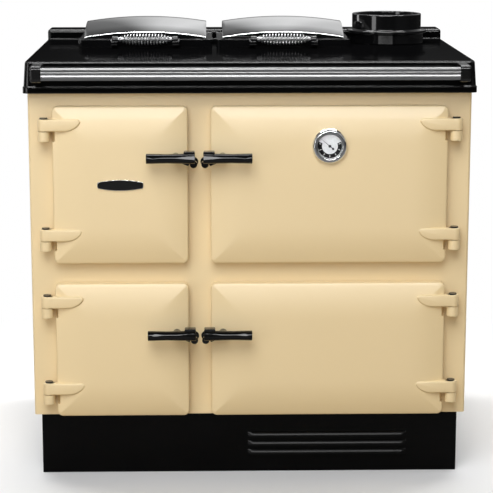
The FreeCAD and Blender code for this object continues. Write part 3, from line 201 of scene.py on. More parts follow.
looks = {
    "creamEnamel": {
        "noises": {"tone": (3.0, 2.0), "cloud": (9.0,), "peel": (260.0, 2.0)},
        "colour": ("tone", shades((0.83, 0.66, 0.38), (0.2, 0.993), (0.8, 1.004))),
        "rough": ("cloud", 0.5, 0.55), "bump": ("peel", 0.05, 0.0006, 0.0012),
        "fixed": {"Specular IOR Level": 1.0, "Coat Weight": 0.22, "Coat Roughness": 0.12}},
    "hobBlack": blackLook((0.0013, 0.0013, 0.0014), 0.5, (0.05, 0.08), 190.0, 0.02, 0.004,
                          ((0.4, 0.0), (0.7, 0.45), (0.88, 0.86), (1.0, 0.94))),
    "ironBlack": blackLook((0.005, 0.005, 0.0053), 0.5, (0.16, 0.24), 420.0, 0.05),
    "leverBlack": blackLook((0.003, 0.003, 0.0032), 0.33, (0.05, 0.08), 300.0, 0.02),
    "plinthBlack": blackLook((0.0022, 0.0022, 0.0022), 0.13, (0.2, 0.28), 900.0, 0.03),
    "castingBlack": blackLook((0.0035, 0.0035, 0.0038), 0.6, (0.05, 0.09), 190.0, 0.03),
    "brightChrome": chromeLook(0.05, 0.09),
    "rackChrome": chromeLook(0.12, 0.2),
    "coilSteel": grainLook(
        (320.0, 2.0), [(0.3, (0.38, 0.38, 0.385)), (0.7, (0.46, 0.46, 0.465))],
        (0.01, 0.0001), (0.36, 0.46), metal),
    "reededSteel": grainLook(
        (900.0, 2.0, 0.5, (0.0008, 1.0, 1.0)), [(0.3, (0.27, 0.27, 0.272)), (0.7, (0.29, 0.29, 0.292))],
        (0.0015, 0.0001), (0.3, 0.36), metal),
    "ovenCasting": {
        "noises": {"speckle": (520.0, 2.0, 0.7), "cloud": (30.0,), "pits": (160.0,)},
        "colour": ("speckle", [
            (0.42, (0.028, 0.029, 0.032)), (0.62, (0.05, 0.052, 0.056)), (0.7, (0.16, 0.165, 0.17))]),
        "rough": ("cloud", 0.25, 0.45), "bump": ("pits", 0.15, 0.0008, 0.0015)},
    "rawCasting": {
        "noises": {"sand": (700.0, 5.0, 0.7), "tone": (12.0, 5.0)},
        "colour": ("tone", [(0.3, (0.035, 0.034, 0.034)), (0.7, (0.075, 0.07, 0.066))]),
        "rough": ("sand", 0.5, 0.75), "bump": ("sand", 0.35, 0.0008, 0.002)},
    "machinedIron": grainLook(
        (240.0, 4.0, 0.6, (1.0, 0.03, 1.0)), [(0.3, (0.11, 0.11, 0.115)), (0.7, (0.2, 0.2, 0.205))],
        (0.12, 0.0003, 0.001), (0.3, 0.5), {"Metallic": 0.85}),
    "zincSheet": {
        "cells": (70.0, "F1"), "noises": {"grain": (300.0,)},
        "colour": ("cellColor", [(0.2, (0.40, 0.41, 0.42)), (0.8, (0.52, 0.53, 0.54))]),
        "rough": ("cellDistance", 0.3, 0.45), "bump": ("grain", 0.04, 0.0003, 0.0006),
        "fixed": {"Metallic": 0.9}},
    "linerPlate": grainLook(
        (180.0, 3.0, 0.6, (1.0, 0.06, 0.06)), [(0.3, (0.62, 0.62, 0.63)), (0.7, (0.74, 0.74, 0.75))],
        (0.05, 0.0003, 0.0006), (0.22, 0.4), metal),
    "foilFacing": {
        "cells": (26.0, "DISTANCE_TO_EDGE"), "noises": {"tone": (15.0,)},
        "colour": ("tone", shades(white, (0.3, 0.6), (0.7, 0.75))), "bump": ("cellDistance", 0.3, 0.002),
        "fixed": {"Metallic": 1.0, "Roughness": 0.36}},
    "ropeFibre": grainLook(
        (900.0, 4.0, 0.7), [(0.3, (0.16, 0.15, 0.13)), (0.7, (0.36, 0.34, 0.30))],
        (0.5, 0.0008), None, {"Roughness": 0.9, "Sheen Weight": 0.3}),
    "copperPipe": grainLook(
        (30.0, 5.0, 0.7), [(0.35, (0.42, 0.19, 0.1)), (0.65, (0.72, 0.38, 0.24))],
        (0.08, 0.0004), (0.25, 0.5), metal),
    "knobPlastic": grainLook(
        (1200.0, 2.0), [(0.3, (0.02, 0.02, 0.021)), (0.7, (0.034, 0.034, 0.035))],
        (0.1, 0.0002, 0.0008), (0.4, 0.55)),
    "dialFace": grainLook(
        (300.0, 3.0), [(0.3, (0.5, 0.5, 0.51)), (0.7, (0.6, 0.6, 0.61))],
        (0.03, 0.0002), (0.45, 0.6), {"Metallic": 0.2}),
    "bandBlack": inkLook((0.003, 0.003, 0.0035)),
    "markPale": inkLook((0.7, 0.7, 0.68)),
    "needleDark": inkLook((0.03, 0.03, 0.032)),
    "gaugeGlass": {
        "noises": {"tone": (20.0,)},
        "colour": ("tone", [(0.3, (0.96, 0.98, 0.975)), (0.7, (1.0, 1.0, 1.0))]),
        "fixed": {"Transmission Weight": 1.0, "Roughness": 0.0, "IOR": 1.2}},
}


def makeMaterial(name):
    look = looks[name]
    made, tree, place = startMaterial(name)
    patterns = {key: noiseOn(tree, place, *numbers) for key, numbers in look["noises"].items()}
    if "cells" in look:
        scale, feature = look["cells"]
        cells = addNode(tree, "ShaderNodeTexVoronoi", {"Vector": place, "Scale": scale}, feature=feature)
        patterns.update({"cell" + socket.name: socket for socket in cells.outputs})
    driver, stops = look["colour"]
    feeds = {"Base Color": colourRamp(tree, patterns[driver], stops), **look.get("fixed", {})}
    if look.get("rough"):
        driver, low, high = look["rough"]
        feeds["Roughness"] = spread(tree, patterns[driver], low, high)
    if "bump" in look:
        driver, *numbers = look["bump"]
        feeds["Normal"] = bumpOn(tree, patterns[driver], *numbers)
    surface = flow(tree, "ShaderNodeBsdfPrincipled", feeds)
    if look.get("fade"):
        # The gloss gives way to flat black where the surface is seen nearly edge on
        facing = addNode(tree, "ShaderNodeLayerWeight").outputs["Facing"]
        flat = flow(tree, "ShaderNodeBsdfDiffuse", {"Color": look["flat"]})
        surface = mixed(tree, colourRamp(tree, facing, shades(white, *look["fade"])), surface, flat)
    addNode(tree, "ShaderNodeOutputMaterial", {"Surface": surface})
    return made


paints = {name: makeMaterial(name) for name in looks}
print("stage: materials made")


# Making and placing pieces

def workOn(*meshes):
    work = bmesh.new()
    for mesh in meshes:
        work.from_mesh(mesh)
    return work


def meshFrom(work, name):
    mesh = bpy.data.meshes.new(name)
    work.to_mesh(mesh)
    work.free()
    return mesh


def joined(name, meshes):
    return meshFrom(workOn(*meshes), name)


def finished(holder):
    # The mesh that a holder's modifiers make, without the holder
    graph = bpy.context.evaluated_depsgraph_get()
    made = bpy.data.meshes.new_from_object(holder.evaluated_get(graph), depsgraph=graph)
    holder.modifiers.clear()
    bpy.data.objects.remove(holder)
    return made


def settled(name, mesh, modifiers):
    holder = addObject(name + "Holder", mesh)
    for kind, settings in modifiers:
        modifier = holder.modifiers.new(kind, kind)
        for key, value in settings.items():
            setattr(modifier, key, value)
    return finished(holder)


def grown(name, tree, inputs, mesh=None):
    holder = addObject(name + "Holder", mesh or bpy.data.meshes.new(name))
    modifier = holder.modifiers.new("grow", "NODES")
    modifier.node_group = tree
    for item in tree.interface.items_tree:
        if item.item_type == "SOCKET" and item.in_out == "INPUT" and item.name in inputs:
            modifier[item.identifier] = inputs[item.name]
    return finished(holder)


def placePiece(name, mesh, look, node, angle, stands=True, flat=False):
    mesh.shade_smooth()
    mesh.set_sharp_from_angle(angle=math.radians(angle))
    if flat:
        mesh = settled(name, mesh, [("WEIGHTED_NORMAL", {"keep_sharp": True, "weight": 100})])
    mesh.materials.clear()
    mesh.materials.append(paints[look])
    piece = addObject(name, mesh)
    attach(piece, bodyOfNode[node])
    if stands:
        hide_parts(node)


weld = {"reach": 0.01 * mm, "angle": 0.05}
bevelRules = {"segments": 3, "profile": 0.5, "affect": "EDGES", "clamp_overlap": True}


def mergedCopy(node):
    work = workOn(cadNodes[node].data)
    bmesh.ops.remove_doubles(work, verts=work.verts, dist=weld["reach"])
    bmesh.ops.dissolve_limit(
        work, angle_limit=math.radians(weld["angle"]), verts=work.verts, edges=work.edges)
    return meshFrom(work, node + "Copy")


def dressedCopies(look, angle, *nodes):
    for node in nodes:
        placePiece(node + "_finished", mergedCopy(node), look, node, angle, flat=True)


def nodeBox(node):
    low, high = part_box(node)
    return Vector(low), Vector(high)


def skin(work, rings, looped=False):
    # Faces through closed rings of points, with an end face on each side unless they run in a loop
    made = [[work.verts.new(point) for point in ring] for ring in rings]
    for low, high in zip(made, made[1:] + made[:1] if looped else made[1:]):
        for i in range(len(low)):
            j = (i + 1) % len(low)
            work.faces.new((low[i], low[j], high[j], high[i]))
    ends = [] if looped else [work.faces.new(made[0][::-1]), work.faces.new(made[-1])]
    bmesh.ops.recalc_face_normals(work, faces=work.faces)
    return ends


def loftMesh(name, rings, looped=False):
    work = bmesh.new()
    skin(work, rings, looped)
    return meshFrom(work, name)


def plateMesh(outline, y0, y1, soft=0.0):
    # An upright plate from an outline of (x, z) points, with a softened front edge
    work = bmesh.new()
    front = skin(work, [[(x, y, z) for x, z in outline] for y in (y0, y1)])[0]
    if soft:
        bmesh.ops.bevel(work, geom=list(front.edges), offset=soft, **bevelRules)
    return meshFrom(work, "plate")


unitWays = (Vector((1, 0, 0)), Vector((0, 1, 0)), Vector((0, 0, 1)))
poleRadius = 1e-7


def latheMesh(profile, axis, centre, steps=96):
    # The profile is a closed list of (radius, distance along the axis)
    along, first, second = (unitWays[("xyz".index(axis) + k) % 3] for k in range(3))
    turns = [2 * math.pi * i / steps for i in range(steps)]
    work = bmesh.new()
    rings = []
    for radius, distance in profile:
        middle = centre + along * distance
        rings.append([work.verts.new(middle)] if radius < poleRadius else [
            work.verts.new(middle + first * radius * math.cos(a) + second * radius * math.sin(a))
            for a in turns])
    for low, high in zip(rings, rings[1:] + rings[:1]):
        for i in range(steps if len(low) + len(high) > 2 else 0):
            j = (i + 1) % steps
            start = low if len(low) == 1 else [low[i], low[j]]
            work.faces.new(start + (high if len(high) == 1 else [high[j], high[i]]))
    bmesh.ops.recalc_face_normals(work, faces=work.faces)
    return meshFrom(work, "lathe")


roundRules = {"tiny": 1e-6, "straight": math.radians(172), "share": 0.45}


def roundOver(profile, radius, steps=4):
    # Rounds the corners of a closed profile of (radius, distance) points
    made = []
    for i, point in enumerate(profile):
        here = Vector(point)
        before = Vector(profile[i - 1]) - here
        after = Vector(profile[(i + 1) % len(profile)]) - here
        shortest = min(before.length, after.length)
        turn = before.angle(after, math.pi)
        if here.x < poleRadius or shortest < roundRules["tiny"] or turn > roundRules["straight"]:
            made.append(point)
            continue
        reach = min(radius / math.tan(turn / 2), shortest * roundRules["share"])
        start = here + before.normalized() * reach
        end = here + after.normalized() * reach
        for k in range(steps + 1):
            t = k / steps
            made.append(tuple(start * (1 - t) ** 2 + here * 2 * t * (1 - t) + end * t ** 2))
    return made


def ringMesh(inner, outer, start, end, axis, centre, steps, soft=0.0):
    # A round bar, or a ring where the inner radius isn't 0, between two distances along an axis
    profile = [(inner, start), (outer, start), (outer, end), (inner, end)]
    return latheMesh(roundOver(profile, soft) if soft else profile, axis, centre, steps)


def loopedTube(points, radius, sides):
    # A tube along a loop of points, with its section turned as little as possible
    rings = []
    across = None
    for i, point in enumerate(points):
        way = (points[(i + 1) % len(points)] - points[i - 1]).normalized()
        if across is None:
            across = way.orthogonal().normalized()
        across = (across - way * across.dot(way)).normalized()
        other = way.cross(across)
        rings.append([
            point + (across * math.cos(a) + other * math.sin(a)) * radius
            for a in (2 * math.pi * k / sides for k in range(sides))])
    return loftMesh("tube", rings, True)


def arcRadius(half, rise):
    return (half ** 2 + rise ** 2) / (2 * rise)


# Geometry trees

socketKinds = {int: "NodeSocketInt", float: "NodeSocketFloat", tuple: "NodeSocketVector"}


def startGrowth(name, inputs):
    tree = bpy.data.node_groups.new(name, "GeometryNodeTree")
    tree.interface.new_socket(name="Geometry", in_out="INPUT", socket_type="NodeSocketGeometry")
    for label, value in inputs.items():
        socket = tree.interface.new_socket(
            name=label, in_out="INPUT", socket_type=socketKinds[type(value)])
        socket.default_value = value
    tree.interface.new_socket(name="Geometry", in_out="OUTPUT", socket_type="NodeSocketGeometry")
    return tree, addNode(tree, "NodeGroupInput").outputs


def finishGrowth(tree, geometry, look):
    whole = flow(tree, "GeometryNodeRealizeInstances", {"Geometry": geometry})
    painted = flow(tree, "GeometryNodeSetMaterial", {"Geometry": whole, "Material": paints[look]})
    addNode(tree, "NodeGroupOutput", {"Geometry": painted})
    return tree


def wireOn(tree, curve, radius, sides, capped=False):
    section = flow(tree, "GeometryNodeCurvePrimitiveCircle", {"Resolution": sides, "Radius": radius})
    return flow(tree, "GeometryNodeCurveToMesh", {
        "Curve": curve, "Profile Curve": section, "Fill Caps": capped})


# Doors: each front is lofted through rounded rings that follow its outline

doorShape = inMetres(
    corner=12, rimRound=3, border=80, bulge=12, flatY=-326, rimY=-314, backY=-292, landY=-301,
    skirt=8, lip=0.6, edge=0.8, sideRun=2,
) | {"rimSteps": 5, "sideSteps": 18, "cornerSteps": 8, "pillowSteps": 20, "mitre": 0.16}
doorSizes = {
    "upper_left": {"x": (-432 * mm, -137 * mm), "z": (499 * mm, 847 * mm), "side": -1},
    "upper_right": {"x": (-87 * mm, 432 * mm), "z": (499 * mm, 847 * mm), "side": 1},
    "lower_left": {"x": (-432 * mm, -137 * mm), "z": (150 * mm, 453 * mm), "side": -1},
    "lower_right": {"x": (-87 * mm, 432 * mm), "z": (150 * mm, 453 * mm), "side": 1},
}
hingeShape = inMetres(
    outset=18, axisY=-314, knuckle=13, arm=26, reach=80, straight=46, depth=20, drop=27, rise=52,
    scoop=24, lug=21, gap=1.2, soft=3, tipRun=5, tipSoft=4, tipDrop=6, bore=5.59, barrelSoft=1.2,
) | {"curveSteps": 12, "curve": 0.8, "sides": 48}


def ringPoints(name, inset, radius, sideSteps, cornerSteps):
    (x0, x1), (z0, z1) = doorSizes[name]["x"], doorSizes[name]["z"]
    left, right = x0 + inset + radius, x1 - inset - radius
    low, high = z0 + inset + radius, z1 - inset - radius
    corners = []
    for k, (x, z) in enumerate([(right, high), (left, high), (left, low), (right, low)]):
        corners.append([
            (x + radius * math.cos(a), z + radius * math.sin(a))
            for a in (math.radians(90 * (k + i / cornerSteps)) for i in range(cornerSteps + 1))])
    points = []
    for corner, following in zip(corners, corners[1:] + corners[:1]):
        start, end = Vector(corner[-1]), Vector(following[0])
        points += corner + [tuple(start.lerp(end, i / sideSteps)) for i in range(1, sideSteps)]
    return points


def doorProfile():
    # From the land behind, round the skirt and the rim, to where the pillow is flat
    s = doorShape
    sweep = arcRadius(s["border"], s["bulge"])
    slope = math.asin(s["border"] / sweep)
    r = s["rimRound"]
    centreY = s["rimY"] - math.tan(slope) * r + r / math.cos(slope)
    skirt, back, lip, edge = s["skirt"], s["backY"], s["lip"], s["edge"]
    profile = [(skirt, s["landY"]), (skirt, back - lip), (skirt - lip, back),
               (edge, back), (0, back - edge), (0, centreY + s["sideRun"])]
    for i in range(s["rimSteps"] + 1):
        a = (math.pi / 2 - slope) * i / s["rimSteps"]
        profile.append((r - r * math.cos(a), centreY - r * math.sin(a)))
    start = profile[-1][0]
    for i in range(1, s["pillowSteps"] + 1):
        inset = start + (s["border"] - start) * i / s["pillowSteps"]
        run = s["border"] - inset
        profile.append((inset, s["flatY"] + sweep - math.sqrt(sweep ** 2 - run ** 2)))
    return profile


def doorBody(name):
    s = doorShape
    rings = []
    for inset, y in doorProfile():
        radius = max(s["corner"] - inset, s["mitre"] * inset)
        outline = ringPoints(name, inset, radius, s["sideSteps"], s["cornerSteps"])
        rings.append([(x, y, z) for x, z in outline])
    return loftMesh("doorBody", rings)


def hingeLevels(name):
    low, high = doorSizes[name]["z"]
    return low + hingeShape["rise"], high - hingeShape["drop"] - hingeShape["arm"]


def hingeX(name):
    left, right = doorSizes[name]["x"]
    return right + hingeShape["outset"] if doorSizes[name]["side"] > 0 else left - hingeShape["outset"]


def scoopedDoor(name):
    h = hingeShape
    centre = Vector((hingeX(name), h["axisY"], 0))
    cutter = addObject("scoopCutter", joined("scoopCutter", [
        ringMesh(0, h["scoop"], z - h["lug"] - 2 * h["gap"], z, "z", centre, h["sides"])
        for z in hingeLevels(name)]))
    made = settled(name, doorBody(name), [
        ("BOOLEAN", {"operation": "DIFFERENCE", "solver": "EXACT", "object": cutter})])
    bpy.data.objects.remove(cutter)
    return made


def hingeArm(name, z):
    h = hingeShape
    x, side = hingeX(name), doorSizes[name]["side"]
    top = z + h["arm"]
    front = h["axisY"] - h["knuckle"]
    tip, bend, shoulder = x - side * h["reach"], x - side * h["straight"], top - h["tipDrop"]
    outline = [
        (x, z), (x, top), (tip + side * h["tipRun"], top), (tip, top - h["tipSoft"]), (tip, shoulder)]
    for i in range(1, h["curveSteps"] + 1):
        a = i / h["curveSteps"] * math.pi / 2
        across = tip + (bend - tip) * (1 - math.cos(a)) ** h["curve"]
        outline.append((across, shoulder - (shoulder - z) * math.sin(a)))
    arm = plateMesh(outline, front, front + h["depth"], h["soft"])
    barrel = ringMesh(
        h["bore"], h["knuckle"], z, top, "z", Vector((x, h["axisY"], 0)), h["sides"], h["barrelSoft"])
    return [arm, barrel]


for doorName in doorSizes:
    doorPieces = [scoopedDoor(doorName)]
    for armLevel in hingeLevels(doorName):
        doorPieces += hingeArm(doorName, armLevel)
    placePiece("door_front_" + doorName, joined("door", doorPieces), "creamEnamel",
               "door_shell_" + doorName, 40)
    print("stage: door", doorName)


# Levers, turned with a flat that twists and widens toward the head

leverShape = inMetres(
    y=-356, drop=108.5, inset=26, grip=64, head=42, endRadius=11, waistRadius=10, headRadius=11.4,
    soft=1.6, block=25, rise=15.5, front=5, back=15, blockRound=2.5, neck=9.4, camFront=-340,
    camBack=-330, camSoft=1.2, spindle=6, spindleStart=-331, spindleEnd=-308, bar=15, reach=33.2,
    keeperRun=38.5, keeperDrop=15.5,
) | {"waist": 0.42, "stations": 26, "softSteps": 5, "flatStart": 0.08, "flat": 0.08, "flatGrowth": 1.6,
     "tiltEnd": 25.0, "tiltHead": 14.5, "blockCut": 0.3, "neckSides": 48, "spindleSides": 32,
     "lobeSteps": 8}


def between(low, high, share):
    return low + (high - low) * share


def leverGrip(start, towards, z):
    s = leverShape
    total = s["grip"] + s["head"]
    profile = [(0, 0)]
    for i in range(s["stations"] + 1):
        share = i / s["stations"]
        if share < s["waist"]:
            radius = between(s["endRadius"], s["waistRadius"], share / s["waist"])
        else:
            radius = between(s["waistRadius"], s["headRadius"], (share - s["waist"]) / (1 - s["waist"]))
        profile.append((radius, total * share))
    profile.append((0, total))
    profile = roundOver(profile, s["soft"], s["softSteps"])
    mesh = latheMesh([(r, towards * along) for r, along in profile], "x", Vector((start, s["y"], z)))
    for point in mesh.vertices:
        share = min(1, max(0, (point.co.x - start) * towards / total))
        tilt = math.radians(between(s["tiltEnd"], s["tiltHead"], share))
        facing = Vector((0, -math.cos(tilt), math.sin(tilt)))
        depth = Vector((0, point.co.y - s["y"], point.co.z - z)).dot(facing)
        limit = between(s["waistRadius"], s["headRadius"], share)
        limit *= 1 - s["flat"] * share ** s["flatGrowth"]
        if share > s["flatStart"] and depth > limit:
            point.co -= facing * (depth - limit)
    return mesh


def leverHead(pivot, towards, z):
    s = leverShape
    outer = pivot + towards * s["head"]
    left, right = sorted((outer, outer - towards * s["block"]))
    top, turn = z + s["rise"], s["blockRound"]
    cut = turn * s["blockCut"]
    outline = [
        (left, z), (right, z), (right, top - turn), (right - cut, top - cut), (right - turn, top),
        (left + turn, top), (left + cut, top - cut), (left, top - turn)]
    block = plateMesh(outline, s["y"] - s["front"], s["y"] + s["back"], s["soft"])
    centre = Vector((pivot, 0, z))
    neck = ringMesh(0, s["neck"], s["y"], s["camBack"], "y", centre, s["neckSides"])
    spindle = ringMesh(
        0, s["spindle"], s["spindleStart"], s["spindleEnd"], "y", centre, s["spindleSides"])
    slope = math.atan2(s["keeperDrop"], s["keeperRun"])
    half = math.asin(s["bar"] / 2 / s["reach"])
    points = [(0, s["bar"] / 2)]
    for i in range(s["lobeSteps"] + 1):
        a = half - 2 * half * i / s["lobeSteps"]
        points.append((s["reach"] * math.cos(a), s["reach"] * math.sin(a)))
    points.append((0, -s["bar"] / 2))
    lobe = [
        (pivot + towards * (x * math.cos(slope) + y * math.sin(slope)),
         z - x * math.sin(slope) + y * math.cos(slope)) for x, y in points]
    return [block, neck, spindle, plateMesh(lobe, s["camFront"], s["camBack"], s["camSoft"])]


def makeLever(name):
    towards = -doorSizes[name]["side"]
    edge = doorSizes[name]["x"][0 if towards < 0 else 1]
    pivot = edge - towards * leverShape["inset"]
    z = doorSizes[name]["z"][1] - leverShape["drop"]
    grip = leverGrip(pivot - towards * leverShape["grip"], towards, z)
    placePiece("lever_grip_" + name, grip, "leverBlack", "handle_" + name, 11)
    head = joined("head", leverHead(pivot, towards, z))
    placePiece("lever_head_" + name, head, "leverBlack", "handle_" + name, 38, False, True)


for doorName in doorSizes:
    makeLever(doorName)
dressedCopies("leverBlack", 38, "latch_keepers")
dressedCopies("creamEnamel", 38, "hinge_lugs")
dressedCopies("ironBlack", 38, "hinge_pins")


# Body and hob

dressedCopies("creamEnamel", 30, "front_panel", "side_panel_left", "side_panel_right")
dressedCopies("hobBlack", 32, "hob_plate")
dressedCopies("zincSheet", 30, "back_panel", "base_plate", "levelling_feet")
dressedCopies("machinedIron", 30, "hotplate")
dressedCopies("ironBlack", 40, "rail_brackets")
print("stage: body dressed")


# Plinth: the flat sheet, with rounded louvre hoods laid over its openings

louvreShape = inMetres(
    x=177, length=363, z=63.7, pitch=20.4, opening=7, proud=6, shy=0.2, cheek=11, lap=0.3, sink=0.9,
    sheetReach=0.1,
) | {"count": 3, "stations": 72, "steps": 16, "thinnest": 0.03, "swell": 0.8, "bow": 0.9}


def plinthSheet(face):
    work = workOn(mergedCopy("plinth"))
    hoods = [point for point in work.verts if point.co.y < face - louvreShape["sheetReach"]]
    bmesh.ops.delete(work, geom=hoods, context="VERTS")
    return meshFrom(work, "plinthSheet")


def louvreHood(face, z):
    # A closed shell lofted along the louvre, fullest below and drawn into the sheet at its cheeks
    v = louvreShape
    low, high = z - v["opening"] / 2 - v["lap"], z + v["opening"] / 2 + v["proud"] + v["lap"]
    rings = []
    for i in range(v["stations"] + 1):
        share = i / v["stations"]
        x = v["x"] - (v["length"] / 2 + v["lap"]) * (1 - 2 * share)
        run = min(1, max(v["thinnest"], min(share, 1 - share) * v["length"] / v["cheek"]))
        proud = (v["proud"] - v["shy"]) * math.sin(run * math.pi / 2) ** v["swell"]
        ring = [(x, face + v["sink"], low), (x, face, low)]
        for k in range(v["steps"] + 1):
            t = k / v["steps"]
            ring.append((x, face - proud * (1 - t ** 2) ** v["bow"], between(low, high, t)))
        ring.append((x, face + v["sink"], high))
        rings.append(ring)
    return loftMesh("louvre", rings)


def makePlinth():
    v = louvreShape
    face = nodeBox("plinth")[0].y + v["proud"]
    placePiece("plinth_sheet", plinthSheet(face), "plinthBlack", "plinth", 30, flat=True)
    first = v["z"] - v["pitch"] * (v["count"] - 1) / 2
    hoods = [louvreHood(face, first + i * v["pitch"]) for i in range(v["count"])]
    placePiece("plinth_louvres", joined("louvres", hoods), "plinthBlack", "plinth", 50, False)


makePlinth()


# Front rail with reeds

railShape = inMetres(bulge=2, backCut=2) | {"reeds": (0.5, 0.24, 0.26), "steps": 12, "swell": 0.6}


def makeRail():
    s = railShape
    low, high = nodeBox("rail_bar")
    faceY, cut = low.y + s["bulge"], s["backCut"]
    outline = []
    z = low.z
    for share in s["reeds"]:
        reed = (high.z - low.z) * share
        for i in range(s["steps"]):
            t = i / s["steps"]
            outline.append((faceY - s["bulge"] * math.sin(math.pi * t) ** s["swell"], z + t * reed))
        z += reed
    outline += [(faceY, high.z), (high.y - cut, high.z), (high.y, high.z - cut),
                (high.y, low.z + cut), (high.y - cut, low.z)]
    bar = loftMesh("rail", [[(x, y, z) for y, z in outline] for x in (low.x, high.x)])
    placePiece("rail_reeded", bar, "reededSteel", "rail_bar", 40)


makeRail()


# Flue boss

flueShape = inMetres(
    x=343, y=186, bore=76, ring=83.5, flange=96, foot=90, spigot=84, low=900, hob=944, footTop=968,
    flangeTop=976, top=1014, soft=2.5,
) | {"sides": 128}


def makeFlueBoss():
    f = flueShape
    corners = (
        ("bore", "low"), ("spigot", "low"), ("spigot", "hob"), ("foot", "hob"), ("foot", "footTop"),
        ("flange", "footTop"), ("flange", "flangeTop"), ("ring", "flangeTop"), ("ring", "top"),
        ("bore", "top"))
    profile = roundOver([(f[radius], f[level]) for radius, level in corners], f["soft"])
    mesh = latheMesh(profile, "z", Vector((f["x"], f["y"], 0)), f["sides"])
    placePiece("flue_collar", mesh, "castingBlack", "flue_boss", 35)


makeFlueBoss()


# Lids

lidShape = inMetres(
    left=-239, right=85.5, front=40, back=278, half=143, hob=944, crown=36, fall=12, crest=65,
    wall=2, foot=20.1, roll=0.7,
) | {"steps": 40, "rollSteps": 3, "rollAngle": 50}
gripShape = inMetres(
    y=16, z=965.5, rod=4, rodEnd=64, collarBore=3.6, collar=5.6, collarStart=56.1, collarEnd=60.1,
    collarSoft=0.8, ferrule=7, start=63, end=77, ferruleSoft=1.6,
) | {"sides": 32, "ferruleSides": 40}


def domeHeight(across, along):
    s = lidShape
    swing = arcRadius(s["half"], s["fall"])
    bow = arcRadius((s["back"] - s["front"]) / 2, s["crest"] - s["crown"])
    middle = (s["back"] + s["front"]) / 2
    height = s["crest"] - bow + math.sqrt(bow ** 2 - (along - middle) ** 2)
    reach = swing - s["crown"] + height
    return s["hob"] + s["crown"] - swing + math.sqrt(reach ** 2 - across ** 2)


def makeCover(side):
    s = lidShape
    centre, low = s[side], s["hob"] + s["foot"]
    work = bmesh.new()
    rows = []
    for j in range(s["steps"] + 1):
        along = between(s["front"], s["back"], j / s["steps"])
        row = [(centre - s["half"], along, low)]
        for i in range(s["steps"] + 1):
            across = between(-s["half"], s["half"], i / s["steps"])
            row.append((centre + across, along, domeHeight(across, along)))
        row.append((centre + s["half"], along, low))
        rows.append([work.verts.new(point) for point in row])
    for first, second in zip(rows, rows[1:]):
        for i in range(len(first) - 1):
            work.faces.new((first[i], first[i + 1], second[i + 1], second[i]))
    cover = settled("cover", meshFrom(work, "cover"), [
        ("SOLIDIFY", {"thickness": s["wall"], "offset": -1.0, "use_even_offset": True}),
        ("BEVEL", {"width": s["roll"], "segments": s["rollSteps"], "limit_method": "ANGLE",
                   "angle_limit": math.radians(s["rollAngle"])})])
    placePiece("lid_dome_" + side, cover, "brightChrome", "lid_cover_" + side, 40)


def makeGrip(side):
    g = gripShape
    centre = Vector((lidShape[side], g["y"], g["z"]))
    collars = [ringMesh(0, g["rod"], -g["rodEnd"], g["rodEnd"], "x", centre, g["sides"])]
    ferrules = []
    for way in (-1, 1):
        collars.append(ringMesh(
            g["collarBore"], g["collar"], way * g["collarStart"], way * g["collarEnd"],
            "x", centre, g["sides"], g["collarSoft"]))
        ferrules.append(ringMesh(
            0, g["ferrule"], way * g["start"], way * g["end"],
            "x", centre, g["ferruleSides"], g["ferruleSoft"]))
    rod = "lid_rod_" + side
    placePiece("lid_grip_" + side, joined("grip", collars), "coilSteel", rod, 36)
    placePiece("lid_ferrules_" + side, joined("ferrules", ferrules), "castingBlack", rod, 36, False)


for lidSide in ("left", "right"):
    makeCover(lidSide)
    dressedCopies("castingBlack", 32, "lid_frame_" + lidSide)
    dressedCopies("linerPlate", 32, "lid_liner_" + lidSide)
    makeGrip(lidSide)
dressedCopies("brightChrome", 36, "lid_hinge_brackets", "lid_hinge_pins")
print("stage: lids dressed")


# Wire coils on the lid grips, grown along a barrel-shaped helix

coilShape = {
    "Turns": 15.0, "Length": 108 * mm, "Wire": 1.7 * mm, "End Radius": 5.85 * mm,
    "Middle Radius": 12.0 * mm, "Points": 540}
wireSides = 12


def coilTree():
    tree, given = startGrowth("coilGrowth", {"Centre": (0.0, 0.0, 0.0), **coilShape})
    line = flow(tree, "GeometryNodeCurvePrimitiveLine", {"End": (1, 0, 0)})
    fine = flow(tree, "GeometryNodeResampleCurve", {"Curve": line, "Count": given["Points"]})
    share = flow(tree, "GeometryNodeSplineParameter")
    angle = times(tree, times(tree, share, given["Turns"]), 2 * math.pi)
    fromMiddle = sums(tree, "SUBTRACT", times(tree, share, 2.0), 1.0)
    squared = times(tree, fromMiddle, fromMiddle)
    barrel = sums(tree, "SUBTRACT", 1.0, times(tree, squared, squared))
    swell = sums(tree, "SUBTRACT", given["Middle Radius"], given["End Radius"])
    radius = sums(tree, "ADD", given["End Radius"], times(tree, swell, barrel))
    place = combined(
        tree, times(tree, sums(tree, "SUBTRACT", share, 0.5), given["Length"]),
        times(tree, radius, sums(tree, "SINE", angle)), times(tree, radius, sums(tree, "COSINE", angle)))
    shifted = flow(tree, "ShaderNodeVectorMath", {0: place, 1: given["Centre"]}, operation="ADD")
    helix = flow(tree, "GeometryNodeSetPosition", {"Geometry": fine, "Position": shifted})
    return finishGrowth(tree, wireOn(tree, helix, given["Wire"], wireSides, True), "coilSteel")


coilGrowth = coilTree()
for lidSide in ("left", "right"):
    coilCentre = (lidShape[lidSide], gripShape["y"], gripShape["z"])
    coil = grown("coil", coilGrowth, {"Centre": coilCentre, **coilShape})
    placePiece("lid_wire_" + lidSide, coil, "coilSteel", "lid_coil_" + lidSide, 60)
print("stage: coils grown")


# Badge: a bare black lozenge in a thin bright rim

badgeShape = inMetres(
    x=-284.5, z=676, length=101, height=24, end=14.5, shoulder=46.5, rim=1.0, rimSoft=0.5,
    front=-328.4, back=-326, fieldFront=-328.41, fieldBack=-327.4,
) | {"arcSteps": 24, "endSteps": 10, "endDraw": 0.6, "endSwell": 0.6}


